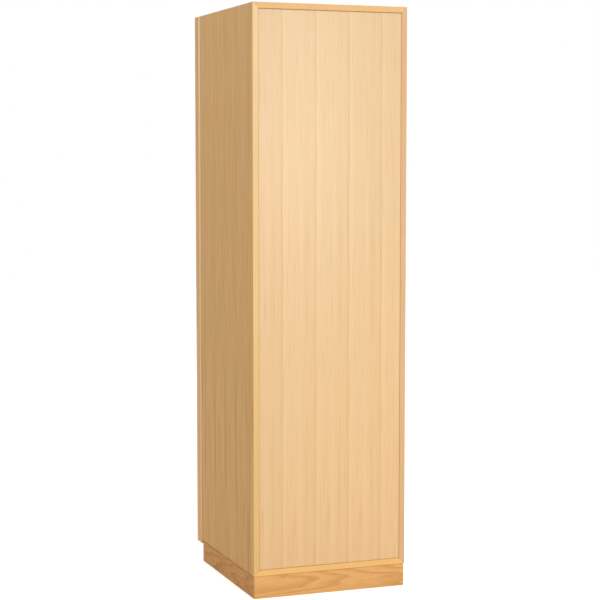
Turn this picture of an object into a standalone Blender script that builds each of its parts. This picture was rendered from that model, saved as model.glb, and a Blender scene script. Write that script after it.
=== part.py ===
"""A narrow oak wardrobe on a plinth, with one door on concealed hinges.

Metres, +Z up. The front faces -Y, the back faces +Y, and the origin is on the floor under the middle of
the whole wardrobe. Left and right are as seen from the front.
"""

import math
from collections import namedtuple

import bmesh
import bpy
from mathutils import Matrix, Vector

# Case
OVERALL_HEIGHT = 1.800
CASE_WIDTH = 0.500
CASE_DEPTH = 0.528
BOARD_THICKNESS = 0.018
EDGE_EASE = 0.0008
FIT_GAP = 0.0003

# Back panel, held in a groove round the case
BACK_THICKNESS = 0.006
BACK_RECESS = 0.004
GROOVE_DEPTH = 0.008

# Splines across the mitred corners of the case
SPLINE_THICKNESS = 0.004
SPLINE_WIDTH = 0.011
SPLINE_DEPTH_IN_BOARD = 0.0105
SPLINE_STOP = 0.025

# Plinth
PLINTH_HEIGHT = 0.070
PLINTH_INSET = 0.002
PLINTH_THICKNESS = 0.020
BLOCK_SIDE = 0.034
BLOCK_HEIGHT = 0.045
PLINTH_SCREW_RADIUS = 0.0025
PLINTH_SCREW_HEAD_RADIUS = 0.0048
PLINTH_SCREW_HEAD_HEIGHT = 0.0026
PLINTH_SCREW_BITE = 0.012

# Hat shelf
HAT_SPACE = 0.300
SHELF_THICKNESS = 0.018
SHELF_SETBACK = 0.025
SHELF_SIDE_GAP = 0.0008
SHELF_PIN_RADIUS = 0.0025
SHELF_PIN_HEAD_RADIUS = 0.004
SHELF_PIN_HEAD_LENGTH = 0.010
SHELF_PIN_HOLE_DEPTH = 0.010
SHELF_PIN_FROM_EDGE = 0.050

# Hanging rail, an oval tube between two sockets that press into the side panels
RAIL_BELOW_SHELF = 0.060
RAIL_HEIGHT = 0.030
RAIL_WIDTH = 0.015
RAIL_WALL = 0.0012
SOCKET_BASE = 0.003
SOCKET_WALL = 0.0025
SOCKET_FLANGE_RIM = 0.005
SOCKET_DEPTH = 0.012
SOCKET_PEG_RADIUS = 0.0025
SOCKET_PEG_LENGTH = 0.009
SOCKET_PEG_SPACING = 0.032

# Door and its pull
DOOR_GAP = 0.004
DOOR_THICKNESS = 0.022
DOOR_OVERHANG = 0.012
PULL_DEPTH = 0.036
PULL_WIDTH = 0.024
PULL_ROOT = 0.012
PULL_LIP = 0.014
PULL_COVE_RADIUS = 0.009
PULL_ROUND = 0.003
PULL_SCREW_COUNT = 4
PULL_SCREW_FROM_END = 0.080
PULL_SCREW_RADIUS = 0.002
PULL_SCREW_HEAD_RADIUS = 0.004
PULL_SCREW_BITE = 0.018

# Hinges: places are measured from the pin, inboard and towards the back
HINGE_COUNT = 4
HINGE_FROM_END = 0.100
PIN_FROM_EDGE = 0.0075
PIN_DEPTH = 0.0065
PIN_RADIUS = 0.00125
KNUCKLE_RADIUS = 0.0026
CUP_DIAMETER = 0.035
CUP_DEPTH = 0.0115
CUP_FROM_EDGE = 0.003
CUP_FLANGE_RIM = 0.001
CUP_FLANGE_THICKNESS = 0.0012
CUP_FLANGE_LENGTH = 0.061
CUP_DOWEL_SPACING = 0.045
CUP_DOWEL_INBOARD = 0.0095
DOWEL_RADIUS = 0.004
DOWEL_LENGTH = 0.011
HINGE_PLAY = 0.0008
ARM_WIDTH = 0.0116
ARM_BAR = 0.004
ARM_LEG = 0.005
ARM_SEAT = 0.004
ARM_CLEARANCE = 0.001
ARM_CRANK_MARGIN = 0.004
PLATE_SETBACK = 0.037
PLATE_LENGTH = 0.036
PLATE_WIDTH = 0.050
PLATE_WING = 0.0022
PLATE_SADDLE_WIDTH = 0.016
PLATE_THICKNESS = 0.006
PLATE_DOWEL_SPACING = 0.032

# Magnetic catch under the top panel, and its strike on the door
CATCH_WIDTH = 0.046
CATCH_DEPTH = 0.018
CATCH_HEIGHT = 0.013
CATCH_SETBACK = 0.0015
CATCH_FROM_SIDE = 0.020
CATCH_SCREW_SPACING = 0.036
CATCH_SCREW_RADIUS = 0.00175
CATCH_SCREW_HEAD_RADIUS = 0.0034
CATCH_SCREW_HEAD_HEIGHT = 0.0017
CATCH_SCREW_BITE = 0.012
MAGNET_WIDTH = 0.026
MAGNET_HEIGHT = 0.006
MAGNET_SEAT = 0.010
MAGNET_AIR_GAP = 0.0005
STRIKE_WIDTH = 0.034
STRIKE_HEIGHT = 0.012
STRIKE_THICKNESS = 0.002

# Bumpers between the door and the right side panel
BUMPER_RADIUS = 0.005
BUMPER_FROM_END = 0.030

# Shape shared by all the screws: the tip's length, and the crown and rim as shares of the head
SCREW_TIP = 0.002
SCREW_CROWN = 0.7
SCREW_RIM = 0.4

# Fineness of round pieces
SCREW_SIDES = 12
SMALL_ROUND_SIDES = 12
CUP_SIDES = 32
OVAL_END_SIDES = 10
EASE_STEPS = 2
PULL_ROUND_STEPS = 4
PULL_COVE_STEPS = 6
SMOOTH_UP_TO = math.radians(40)

# Places that follow from the sizes
HALF_WIDTH = CASE_WIDTH / 2
BACK_Y = (CASE_DEPTH + DOOR_GAP + DOOR_THICKNESS + PULL_DEPTH) / 2
FRONT_Y = BACK_Y - CASE_DEPTH
CASE_BOTTOM = PLINTH_HEIGHT
INNER_HALF = HALF_WIDTH - BOARD_THICKNESS
INNER_BOTTOM = CASE_BOTTOM + BOARD_THICKNESS
INNER_TOP = OVERALL_HEIGHT - BOARD_THICKNESS
PANEL_BACK_Y = BACK_Y - BACK_RECESS
PANEL_FRONT_Y = PANEL_BACK_Y - BACK_THICKNESS
SHELF_TOP = INNER_TOP - HAT_SPACE
SHELF_BOTTOM = SHELF_TOP - SHELF_THICKNESS
SHELF_FRONT_Y = FRONT_Y + SHELF_SETBACK
SHELF_BACK_Y = PANEL_FRONT_Y - FIT_GAP
RAIL_Z = SHELF_BOTTOM - RAIL_BELOW_SHELF
RAIL_Y = (FRONT_Y + PANEL_FRONT_Y) / 2
DOOR_BACK_Y = FRONT_Y - DOOR_GAP
DOOR_FRONT_Y = DOOR_BACK_Y - DOOR_THICKNESS
DOOR_BOTTOM = CASE_BOTTOM - DOOR_OVERHANG
DOOR_AXIS = Vector((-HALF_WIDTH + PIN_FROM_EDGE, DOOR_BACK_Y - PIN_DEPTH, 0.0))
LOWEST_HINGE = INNER_BOTTOM + HINGE_FROM_END
HINGE_STEP = (INNER_TOP - HINGE_FROM_END - LOWEST_HINGE) / (HINGE_COUNT - 1)
HINGE_HEIGHTS = [LOWEST_HINGE + index * HINGE_STEP for index in range(HINGE_COUNT)]

X = Vector((1.0, 0.0, 0.0))
Y = Vector((0.0, 1.0, 0.0))
Z = Vector((0.0, 0.0, 1.0))
SIDES = {"left": -1, "right": 1}

# A screw's length runs from the seat of its head, or from the rim of a countersunk head, to its tip
Screw = namedtuple("Screw", "radius head_radius head_height length")
PLINTH_SCREW = Screw(PLINTH_SCREW_RADIUS, PLINTH_SCREW_HEAD_RADIUS, PLINTH_SCREW_HEAD_HEIGHT,
                     BLOCK_HEIGHT + PLINTH_SCREW_BITE)
PULL_SCREW = Screw(PULL_SCREW_RADIUS, PULL_SCREW_HEAD_RADIUS, 0.0, DOOR_THICKNESS + PULL_SCREW_BITE)
CATCH_SCREW = Screw(CATCH_SCREW_RADIUS, CATCH_SCREW_HEAD_RADIUS, CATCH_SCREW_HEAD_HEIGHT,
                    CATCH_HEIGHT + CATCH_SCREW_BITE)
STRIKE_SCREW = Screw(CATCH_SCREW_RADIUS, CATCH_SCREW_HEAD_RADIUS, 0.0, STRIKE_THICKNESS + CATCH_SCREW_BITE)


def material(name, colour, roughness, metallic=0.0):
    made = bpy.data.materials.new(name)
    made.use_nodes = True
    shader = made.node_tree.nodes["Principled BSDF"]
    shader.inputs["Base Color"].default_value = (*colour, 1.0)
    shader.inputs["Roughness"].default_value = roughness
    shader.inputs["Metallic"].default_value = metallic
    return made


def place_mesh(name, mesh, place=Matrix.Identity(4)):
    piece = bpy.data.objects.new(name, mesh)
    bpy.context.scene.collection.objects.link(piece)
    piece.matrix_basis = place
    return piece


def add_object(name, bm, finish):
    """Turn a finished bmesh into a named object with outward faces."""
    bmesh.ops.recalc_face_normals(bm, faces=bm.faces)
    mesh = bpy.data.meshes.new(name)
    bm.to_mesh(mesh)
    bm.free()
    mesh.materials.append(finish)
    return place_mesh(name, mesh)


def add_box(bm, low, high):
    low = Vector(low)
    high = Vector(high)
    shape = Matrix.Translation((low + high) / 2) @ Matrix.Diagonal((*(high - low), 1.0))
    bmesh.ops.create_cube(bm, size=1.0, matrix=shape)


def add_prism(bm, outline, first, second, along, start, end):
    """Extrude a closed outline, given in the two directions first and second, from start to end."""
    near = [bm.verts.new(first * u + second * v + along * start) for u, v in outline]
    swept = bmesh.ops.extrude_face_region(bm, geom=[bm.faces.new(near)])
    far = [item for item in swept["geom"] if isinstance(item, bmesh.types.BMVert)]
    bmesh.ops.translate(bm, verts=far, vec=along * (end - start))
    return near, far


def add_turned(bm, profile, place, sides):
    """Spin a profile of (radius, height) points, which starts and ends on the axis, about the place's Z."""
    others = set(bm.verts)
    points = [bm.verts.new((radius, 0.0, height)) for radius, height in profile]
    lines = [bm.edges.new(pair) for pair in zip(points, points[1:])]
    bmesh.ops.spin(bm, geom=points + lines, cent=(0, 0, 0), axis=Z, angle=math.tau, steps=sides,
                   use_merge=True)
    made = [vert for vert in bm.verts if vert not in others]
    bmesh.ops.remove_doubles(bm, verts=made, dist=FIT_GAP / 100)
    made = [vert for vert in bm.verts if vert not in others]
    bmesh.ops.transform(bm, matrix=place, verts=made)


def placed(point, direction=Z):
    """A place at a point, with its own Z along a direction."""
    turn = Z.rotation_difference(direction).to_matrix().to_4x4()
    return Matrix.Translation(point) @ turn


def rod(radius, top, bottom):
    """The profile of a plain round bar, or of a drilled hole."""
    return [(0.0, top), (radius, top), (radius, bottom), (0.0, bottom)]


def combine(piece, other_bm, operation):
    """Cut other solids out of a piece, or join them to it, and keep the result as the piece's own mesh."""
    other = add_object(piece.name + "_tool", other_bm, piece.data.materials[0])
    step = piece.modifiers.new(operation, "BOOLEAN")
    step.operation = operation
    step.solver = "EXACT"
    step.object = other
    evaluated = piece.evaluated_get(bpy.context.evaluated_depsgraph_get())
    finished = bpy.data.meshes.new_from_object(evaluated)
    piece.modifiers.clear()
    piece.data = finished
    bpy.data.objects.remove(other)


def combine_turned(piece, profile, places, sides, operation):
    """Cut or join the same round shape at several places."""
    shapes = bmesh.new()
    for place in places:
        add_turned(shapes, profile, place, sides)
    combine(piece, shapes, operation)


def eased_corner(corner, to_before, to_after, radius, steps=EASE_STEPS):
    """Points of a quarter round in place of an outline's square corner."""
    to_before = Vector(to_before)
    to_after = Vector(to_after)
    centre = Vector(corner) + (to_before + to_after) * radius
    angles = [math.pi / 2 * index / steps for index in range(steps + 1)]
    return [centre - (to_after * math.cos(a) + to_before * math.sin(a)) * radius for a in angles]


def oval(height, width):
    """An outline with straight sides and round ends, its long way along the second direction."""
    radius = width / 2
    reach = (height - width) / 2
    angles = [math.pi * index / OVAL_END_SIDES for index in range(OVAL_END_SIDES + 1)]
    upper = [(radius * math.cos(a), reach + radius * math.sin(a)) for a in angles]
    lower = [(-u, -v) for u, v in upper]
    return upper + lower


def screw_profile(screw):
    """A screw along its own Z: a crowned head above its seat, or a countersunk one below its rim."""
    shank = [(screw.radius, SCREW_TIP - screw.length), (0.0, -screw.length)]
    if screw.head_height == 0.0:
        cone = screw.head_radius - screw.radius
        return [(0.0, 0.0), (screw.head_radius, 0.0), (screw.radius, -cone)] + shank
    crown = [(0.0, screw.head_height), (screw.head_radius * SCREW_CROWN, screw.head_height)]
    rim = [(screw.head_radius, screw.head_height * SCREW_RIM), (screw.head_radius, 0.0)]
    return crown + rim + [(screw.radius, 0.0)] + shank


def hole_profile(screw):
    """The drilled hole for a screw, with clearance all round and an open mouth."""
    radius = screw.radius + FIT_GAP
    floor = -screw.length - FIT_GAP
    mouth = screw.head_radius
    if screw.head_height == 0.0:
        wide = screw.head_radius + FIT_GAP
        sink = [(0.0, mouth), (wide, mouth), (wide, 0.0)]
        return sink + [(radius, radius - wide), (radius, floor), (0.0, floor)]
    return rod(radius, mouth, floor)


def drive_screws(names, screw, places, through, finish):
    """One screw at each place, and the holes for them in the pieces that they pass through."""
    for piece in through:
        combine_turned(piece, hole_profile(screw), places, SCREW_SIDES, "DIFFERENCE")
    shape = bmesh.new()
    add_turned(shape, screw_profile(screw), Matrix.Identity(4), SCREW_SIDES)
    first = add_object(names[0], shape, finish)
    first.matrix_basis = places[0]
    rest = [place_mesh(name, first.data, place) for name, place in zip(names[1:], places[1:])]
    return [first] + rest


def ease_tip(bm, point, outward):
    """Plane off the sharp tip of a mitred end."""
    geometry = list(bm.verts) + list(bm.edges) + list(bm.faces)
    bmesh.ops.bisect_plane(bm, geom=geometry, plane_co=point, plane_no=outward, clear_outer=True)
    bmesh.ops.holes_fill(bm, edges=[edge for edge in bm.edges if edge.is_boundary], sides=0)


def mitred_board(name, outline, outer, inward, across, along, span, finish):
    """A board with both ends cut at 45 degrees, its outline in depth from the outer face and across."""
    bm = bmesh.new()
    low, high = span
    near, far = add_prism(bm, outline, inward, across, along, low, high)
    bmesh.ops.translate(bm, verts=bm.verts, vec=outer)
    mitre_gap = FIT_GAP / math.sqrt(2)
    for ends, way in ((near, 1), (far, -1)):
        for vert in ends:
            depth = (vert.co - outer).dot(inward)
            vert.co += along * way * (depth + mitre_gap)
    for end, way in ((low, -1), (high, 1)):
        ease_tip(bm, outer + along * (end - way * EDGE_EASE), along * way - inward)
    return add_object(name, bm, finish)


def case_board_outline():
    """Depth and Y of a case board's section, with the groove for the back panel."""
    thick = BOARD_THICKNESS
    groove_front = PANEL_FRONT_Y - FIT_GAP
    groove_back = PANEL_BACK_Y + FIT_GAP
    floor = thick - GROOVE_DEPTH
    outline = eased_corner((0.0, FRONT_Y), (0, 1), (1, 0), EDGE_EASE)
    outline += eased_corner((thick, FRONT_Y), (-1, 0), (0, 1), EDGE_EASE)
    outline += [(thick, groove_front), (floor, groove_front), (floor, groove_back), (thick, groove_back)]
    outline += eased_corner((thick, BACK_Y), (0, -1), (-1, 0), EDGE_EASE)
    outline += eased_corner((0.0, BACK_Y), (1, 0), (0, -1), EDGE_EASE)
    return outline


def make_case(veneer, spline_wood):
    outline = case_board_outline()
    upright = (CASE_BOTTOM, OVERALL_HEIGHT)
    level = (-HALF_WIDTH, HALF_WIDTH)
    case = {}
    for side, way in SIDES.items():
        outer = X * way * HALF_WIDTH
        case[side] = mitred_board("side_panel_" + side, outline, outer, -X * way, Y, Z, upright, veneer)
    case["top"] = mitred_board("top_panel", outline, Z * OVERALL_HEIGHT, -Z, Y, X, level, veneer)
    case["bottom"] = mitred_board("bottom_panel", outline, Z * CASE_BOTTOM, Z, Y, X, level, veneer)
    back = bmesh.new()
    reach = GROOVE_DEPTH - FIT_GAP
    add_box(back, (-INNER_HALF - reach, PANEL_FRONT_Y, INNER_BOTTOM - reach),
            (INNER_HALF + reach, PANEL_BACK_Y, INNER_TOP + reach))
    add_object("back_panel", back, veneer)
    make_splines(case, spline_wood)
    return case


def make_splines(case, finish):
    """Thin tongues across the mitres, stopped short of the front and of the back groove."""
    front = FRONT_Y + SPLINE_STOP
    back = PANEL_FRONT_Y - SPLINE_STOP
    inset = SPLINE_DEPTH_IN_BOARD
    levels = {"top": (OVERALL_HEIGHT, -1), "bottom": (CASE_BOTTOM, 1)}

    def tongue(place, gap):
        bm = bmesh.new()
        half_width = SPLINE_WIDTH / 2 + gap
        half_thick = SPLINE_THICKNESS / 2 + gap
        add_box(bm, (-half_width, front - gap, -half_thick), (half_width, back + gap, half_thick))
        bmesh.ops.transform(bm, matrix=place, verts=bm.verts)
        return bm

    for level, (outer_z, upward) in levels.items():
        for side, way in SIDES.items():
            centre = Vector((way * (HALF_WIDTH - inset), 0.0, outer_z + upward * inset))
            across_mitre = X * way + Z * upward
            turn = X.rotation_difference(across_mitre).to_matrix().to_4x4()
            place = Matrix.Translation(centre) @ turn
            add_object("mitre_spline_" + level + "_" + side, tongue(place, 0.0), finish)
            combine(case[level], tongue(place, FIT_GAP), "DIFFERENCE")
            combine(case[side], tongue(place, FIT_GAP), "DIFFERENCE")


def make_plinth(bottom_panel, oak, block_wood, steel):
    """Four mitred boards, a block in each corner, and a screw up through each block into the case."""
    top = PLINTH_HEIGHT - FIT_GAP
    back = BACK_Y - PLINTH_INSET
    half = HALF_WIDTH - PLINTH_INSET
    thick = PLINTH_THICKNESS
    outline = eased_corner((0.0, 0.0), (0, 1), (1, 0), EDGE_EASE) + [(thick, 0.0), (thick, top)]
    outline += eased_corner((0.0, top), (1, 0), (0, -1), EDGE_EASE)
    wide = (-half, half)
    deep = (FRONT_Y, back)
    mitred_board("plinth_front", outline, Y * FRONT_Y, Y, Z, X, wide, oak)
    mitred_board("plinth_back", outline, Y * back, -Y, Z, X, wide, oak)
    for side, way in SIDES.items():
        mitred_board("plinth_" + side, outline, X * way * half, -X * way, Z, Y, deep, oak)

    inset = thick + FIT_GAP + BLOCK_SIDE / 2
    reach = BLOCK_SIDE / 2
    block_bottom = top - BLOCK_HEIGHT
    for end, block_y in (("front", FRONT_Y + inset), ("back", back - inset)):
        for side, way in SIDES.items():
            block_x = way * (half - inset)
            corner = end + "_" + side
            block = bmesh.new()
            add_box(block, (block_x - reach, block_y - reach, block_bottom),
                    (block_x + reach, block_y + reach, top))
            piece = add_object("plinth_block_" + corner, block, block_wood)
            place = placed((block_x, block_y, block_bottom - FIT_GAP), -Z)
            drive_screws(["plinth_screw_" + corner], PLINTH_SCREW, [place], [piece, bottom_panel], steel)


def make_shelf(case, veneer, steel):
    """The hat shelf on four pins, which stand in holes in the side panels."""
    reach = INNER_HALF - SHELF_SIDE_GAP
    outline = eased_corner((SHELF_FRONT_Y, SHELF_BOTTOM), (0, 1), (1, 0), EDGE_EASE)
    outline += [(SHELF_BACK_Y, SHELF_BOTTOM), (SHELF_BACK_Y, SHELF_TOP)]
    outline += eased_corner((SHELF_FRONT_Y, SHELF_TOP), (1, 0), (0, -1), EDGE_EASE)
    board = bmesh.new()
    add_prism(board, outline, Y, Z, X, -reach, reach)
    add_object("hat_shelf", board, veneer)

    pin_z = SHELF_BOTTOM - FIT_GAP - SHELF_PIN_HEAD_RADIUS
    head = SHELF_PIN_HEAD_LENGTH
    shank = FIT_GAP - SHELF_PIN_HOLE_DEPTH
    pin_profile = [(0.0, head), (SHELF_PIN_HEAD_RADIUS, head), (SHELF_PIN_HEAD_RADIUS, FIT_GAP),
                   (SHELF_PIN_RADIUS, FIT_GAP), (SHELF_PIN_RADIUS, shank), (0.0, shank)]
    hole = rod(SHELF_PIN_RADIUS + FIT_GAP, head, -SHELF_PIN_HOLE_DEPTH)
    columns = {"front": SHELF_FRONT_Y + SHELF_PIN_FROM_EDGE, "back": SHELF_BACK_Y - SHELF_PIN_FROM_EDGE}
    for side, way in SIDES.items():
        for end, pin_y in columns.items():
            place = placed((way * INNER_HALF, pin_y, pin_z), -X * way)
            combine_turned(case[side], hole, [place], SMALL_ROUND_SIDES, "DIFFERENCE")
            pin = bmesh.new()
            add_turned(pin, pin_profile, place, SMALL_ROUND_SIDES)
            add_object("shelf_pin_" + end + "_" + side, pin, steel)


def add_skin(bm, rings, hollow):
    """Skin over a run of rings: a hollow tube joins the last ring to the first, a solid closes each end."""
    rings = [[bm.verts.new(point) for point in ring] for ring in rings]
    if hollow:
        rings.append(rings[0])
    else:
        bm.faces.new(rings[0])
        bm.faces.new(rings[-1])
    for ring, following in zip(rings, rings[1:]):
        for corners in zip(ring, ring[1:] + ring[:1], following[1:] + following[:1], following):
            bm.faces.new(corners)


def make_rail(case, chrome):
    """An oval tube whose ends sit in a flanged socket on each side panel."""
    socket_face = INNER_HALF - FIT_GAP
    rail_end = socket_face - SOCKET_BASE - FIT_GAP

    def ring(margin, x):
        outline = oval(RAIL_HEIGHT + 2 * margin, RAIL_WIDTH + 2 * margin)
        return [(x, RAIL_Y + u, RAIL_Z + v) for u, v in outline]

    tube = bmesh.new()
    skin = [ring(0.0, -rail_end), ring(0.0, rail_end), ring(-RAIL_WALL, rail_end), ring(-RAIL_WALL, -rail_end)]
    add_skin(tube, skin, hollow=True)
    add_object("hanging_rail", tube, chrome)

    cup = FIT_GAP + SOCKET_WALL
    flange = cup + SOCKET_FLANGE_RIM
    peg = rod(SOCKET_PEG_RADIUS, -SOCKET_BASE / 2, -SOCKET_BASE - SOCKET_PEG_LENGTH)
    peg_hole = rod(SOCKET_PEG_RADIUS + FIT_GAP, -SOCKET_BASE / 2, -SOCKET_BASE - SOCKET_PEG_LENGTH - FIT_GAP)
    for side, way in SIDES.items():
        outer = way * socket_face
        base = outer - way * SOCKET_BASE
        mouth = base - way * SOCKET_DEPTH
        outside = [ring(flange, outer), ring(flange, base), ring(cup, base), ring(cup, mouth)]
        bore = [ring(FIT_GAP, mouth), ring(FIT_GAP, base)]
        body = bmesh.new()
        add_skin(body, outside + bore, hollow=False)
        socket = add_object("rail_socket_" + side, body, chrome)
        heights = (RAIL_Z - SOCKET_PEG_SPACING / 2, RAIL_Z + SOCKET_PEG_SPACING / 2)
        pegs = [placed((base, RAIL_Y, height), -X * way) for height in heights]
        combine_turned(socket, peg, pegs, SMALL_ROUND_SIDES, "UNION")
        combine_turned(case[side], peg_hole, pegs, SMALL_ROUND_SIDES, "DIFFERENCE")


def door_outline():
    """The door's section in X and Y, its four corners eased."""
    outline = eased_corner((-HALF_WIDTH, DOOR_FRONT_Y), (0, 1), (1, 0), EDGE_EASE)
    outline += eased_corner((HALF_WIDTH, DOOR_FRONT_Y), (-1, 0), (0, 1), EDGE_EASE)
    outline += eased_corner((HALF_WIDTH, DOOR_BACK_Y), (0, -1), (-1, 0), EDGE_EASE)
    outline += eased_corner((-HALF_WIDTH, DOOR_BACK_Y), (1, 0), (0, -1), EDGE_EASE)
    return outline


def pull_outline():
    """The pull's section in X and Y, with a cove for the fingers behind its lip."""
    outer_x = HALF_WIDTH
    lip_x = outer_x - PULL_WIDTH
    root_x = outer_x - PULL_ROOT
    foot_y = DOOR_FRONT_Y - FIT_GAP
    front_y = DOOR_FRONT_Y - PULL_DEPTH
    lip_y = front_y + PULL_LIP
    outline = eased_corner((outer_x, foot_y), (-1, 0), (0, -1), EDGE_EASE)
    outline += eased_corner((outer_x, front_y), (0, 1), (-1, 0), PULL_ROUND, PULL_ROUND_STEPS)
    outline += eased_corner((lip_x, front_y), (1, 0), (0, 1), PULL_ROUND, PULL_ROUND_STEPS)
    outline += eased_corner((lip_x, lip_y), (0, -1), (1, 0), EDGE_EASE)
    outline += eased_corner((root_x, lip_y), (-1, 0), (0, 1), PULL_COVE_RADIUS, PULL_COVE_STEPS)
    outline.append((root_x, foot_y))
    return outline


def make_door(veneer, oak, steel):
    """The door panel, the full-height pull on its free edge, and the screws from inside that hold it."""
    slab = bmesh.new()
    add_prism(slab, door_outline(), X, Y, Z, DOOR_BOTTOM, OVERALL_HEIGHT)
    door = add_object("door_panel", slab, veneer)
    bar = bmesh.new()
    add_prism(bar, pull_outline(), X, Y, Z, DOOR_BOTTOM, OVERALL_HEIGHT)
    pull = add_object("door_pull", bar, oak)
    lowest = DOOR_BOTTOM + PULL_SCREW_FROM_END
    step = (OVERALL_HEIGHT - PULL_SCREW_FROM_END - lowest) / (PULL_SCREW_COUNT - 1)
    heights = [lowest + index * step for index in range(PULL_SCREW_COUNT)]
    names = ["pull_screw_" + str(number) for number in range(1, PULL_SCREW_COUNT + 1)]
    places = [placed((HALF_WIDTH - PULL_ROOT / 2, DOOR_BACK_Y, height), Y) for height in heights]
    screws = drive_screws(names, PULL_SCREW, places, [door, pull], steel)
    return door, [door, pull] + screws


def arm_outline():
    """The hinge arm's hook in X and Y from the pin: knuckle, bar, leg, crank and seat on the plate."""
    panel = BOARD_THICKNESS - PIN_FROM_EDGE
    case_front = PIN_DEPTH + DOOR_GAP
    plate_front = case_front + PLATE_SETBACK - PLATE_LENGTH / 2
    leg_in = panel + ARM_CLEARANCE
    leg_out = leg_in + ARM_LEG
    seat_in = panel + PLATE_THICKNESS + 2 * FIT_GAP
    seat_out = seat_in + ARM_SEAT
    half_bar = ARM_BAR / 2
    crank_from = case_front + ARM_CRANK_MARGIN
    crank_to = plate_front - ARM_CRANK_MARGIN
    arm_end = plate_front + PLATE_LENGTH
    opening = math.asin(half_bar / KNUCKLE_RADIUS)
    sweep = math.tau - 2 * opening
    angles = [opening + sweep * index / SMALL_ROUND_SIDES for index in range(SMALL_ROUND_SIDES + 1)]
    knuckle = [(KNUCKLE_RADIUS * math.cos(a), KNUCKLE_RADIUS * math.sin(a)) for a in angles]
    outside = [(leg_out, -half_bar), (leg_out, crank_from), (seat_out, crank_to), (seat_out, arm_end)]
    inside = [(seat_in, arm_end), (seat_in, crank_to), (leg_in, crank_from), (leg_in, half_bar)]
    return knuckle + outside + inside


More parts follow.
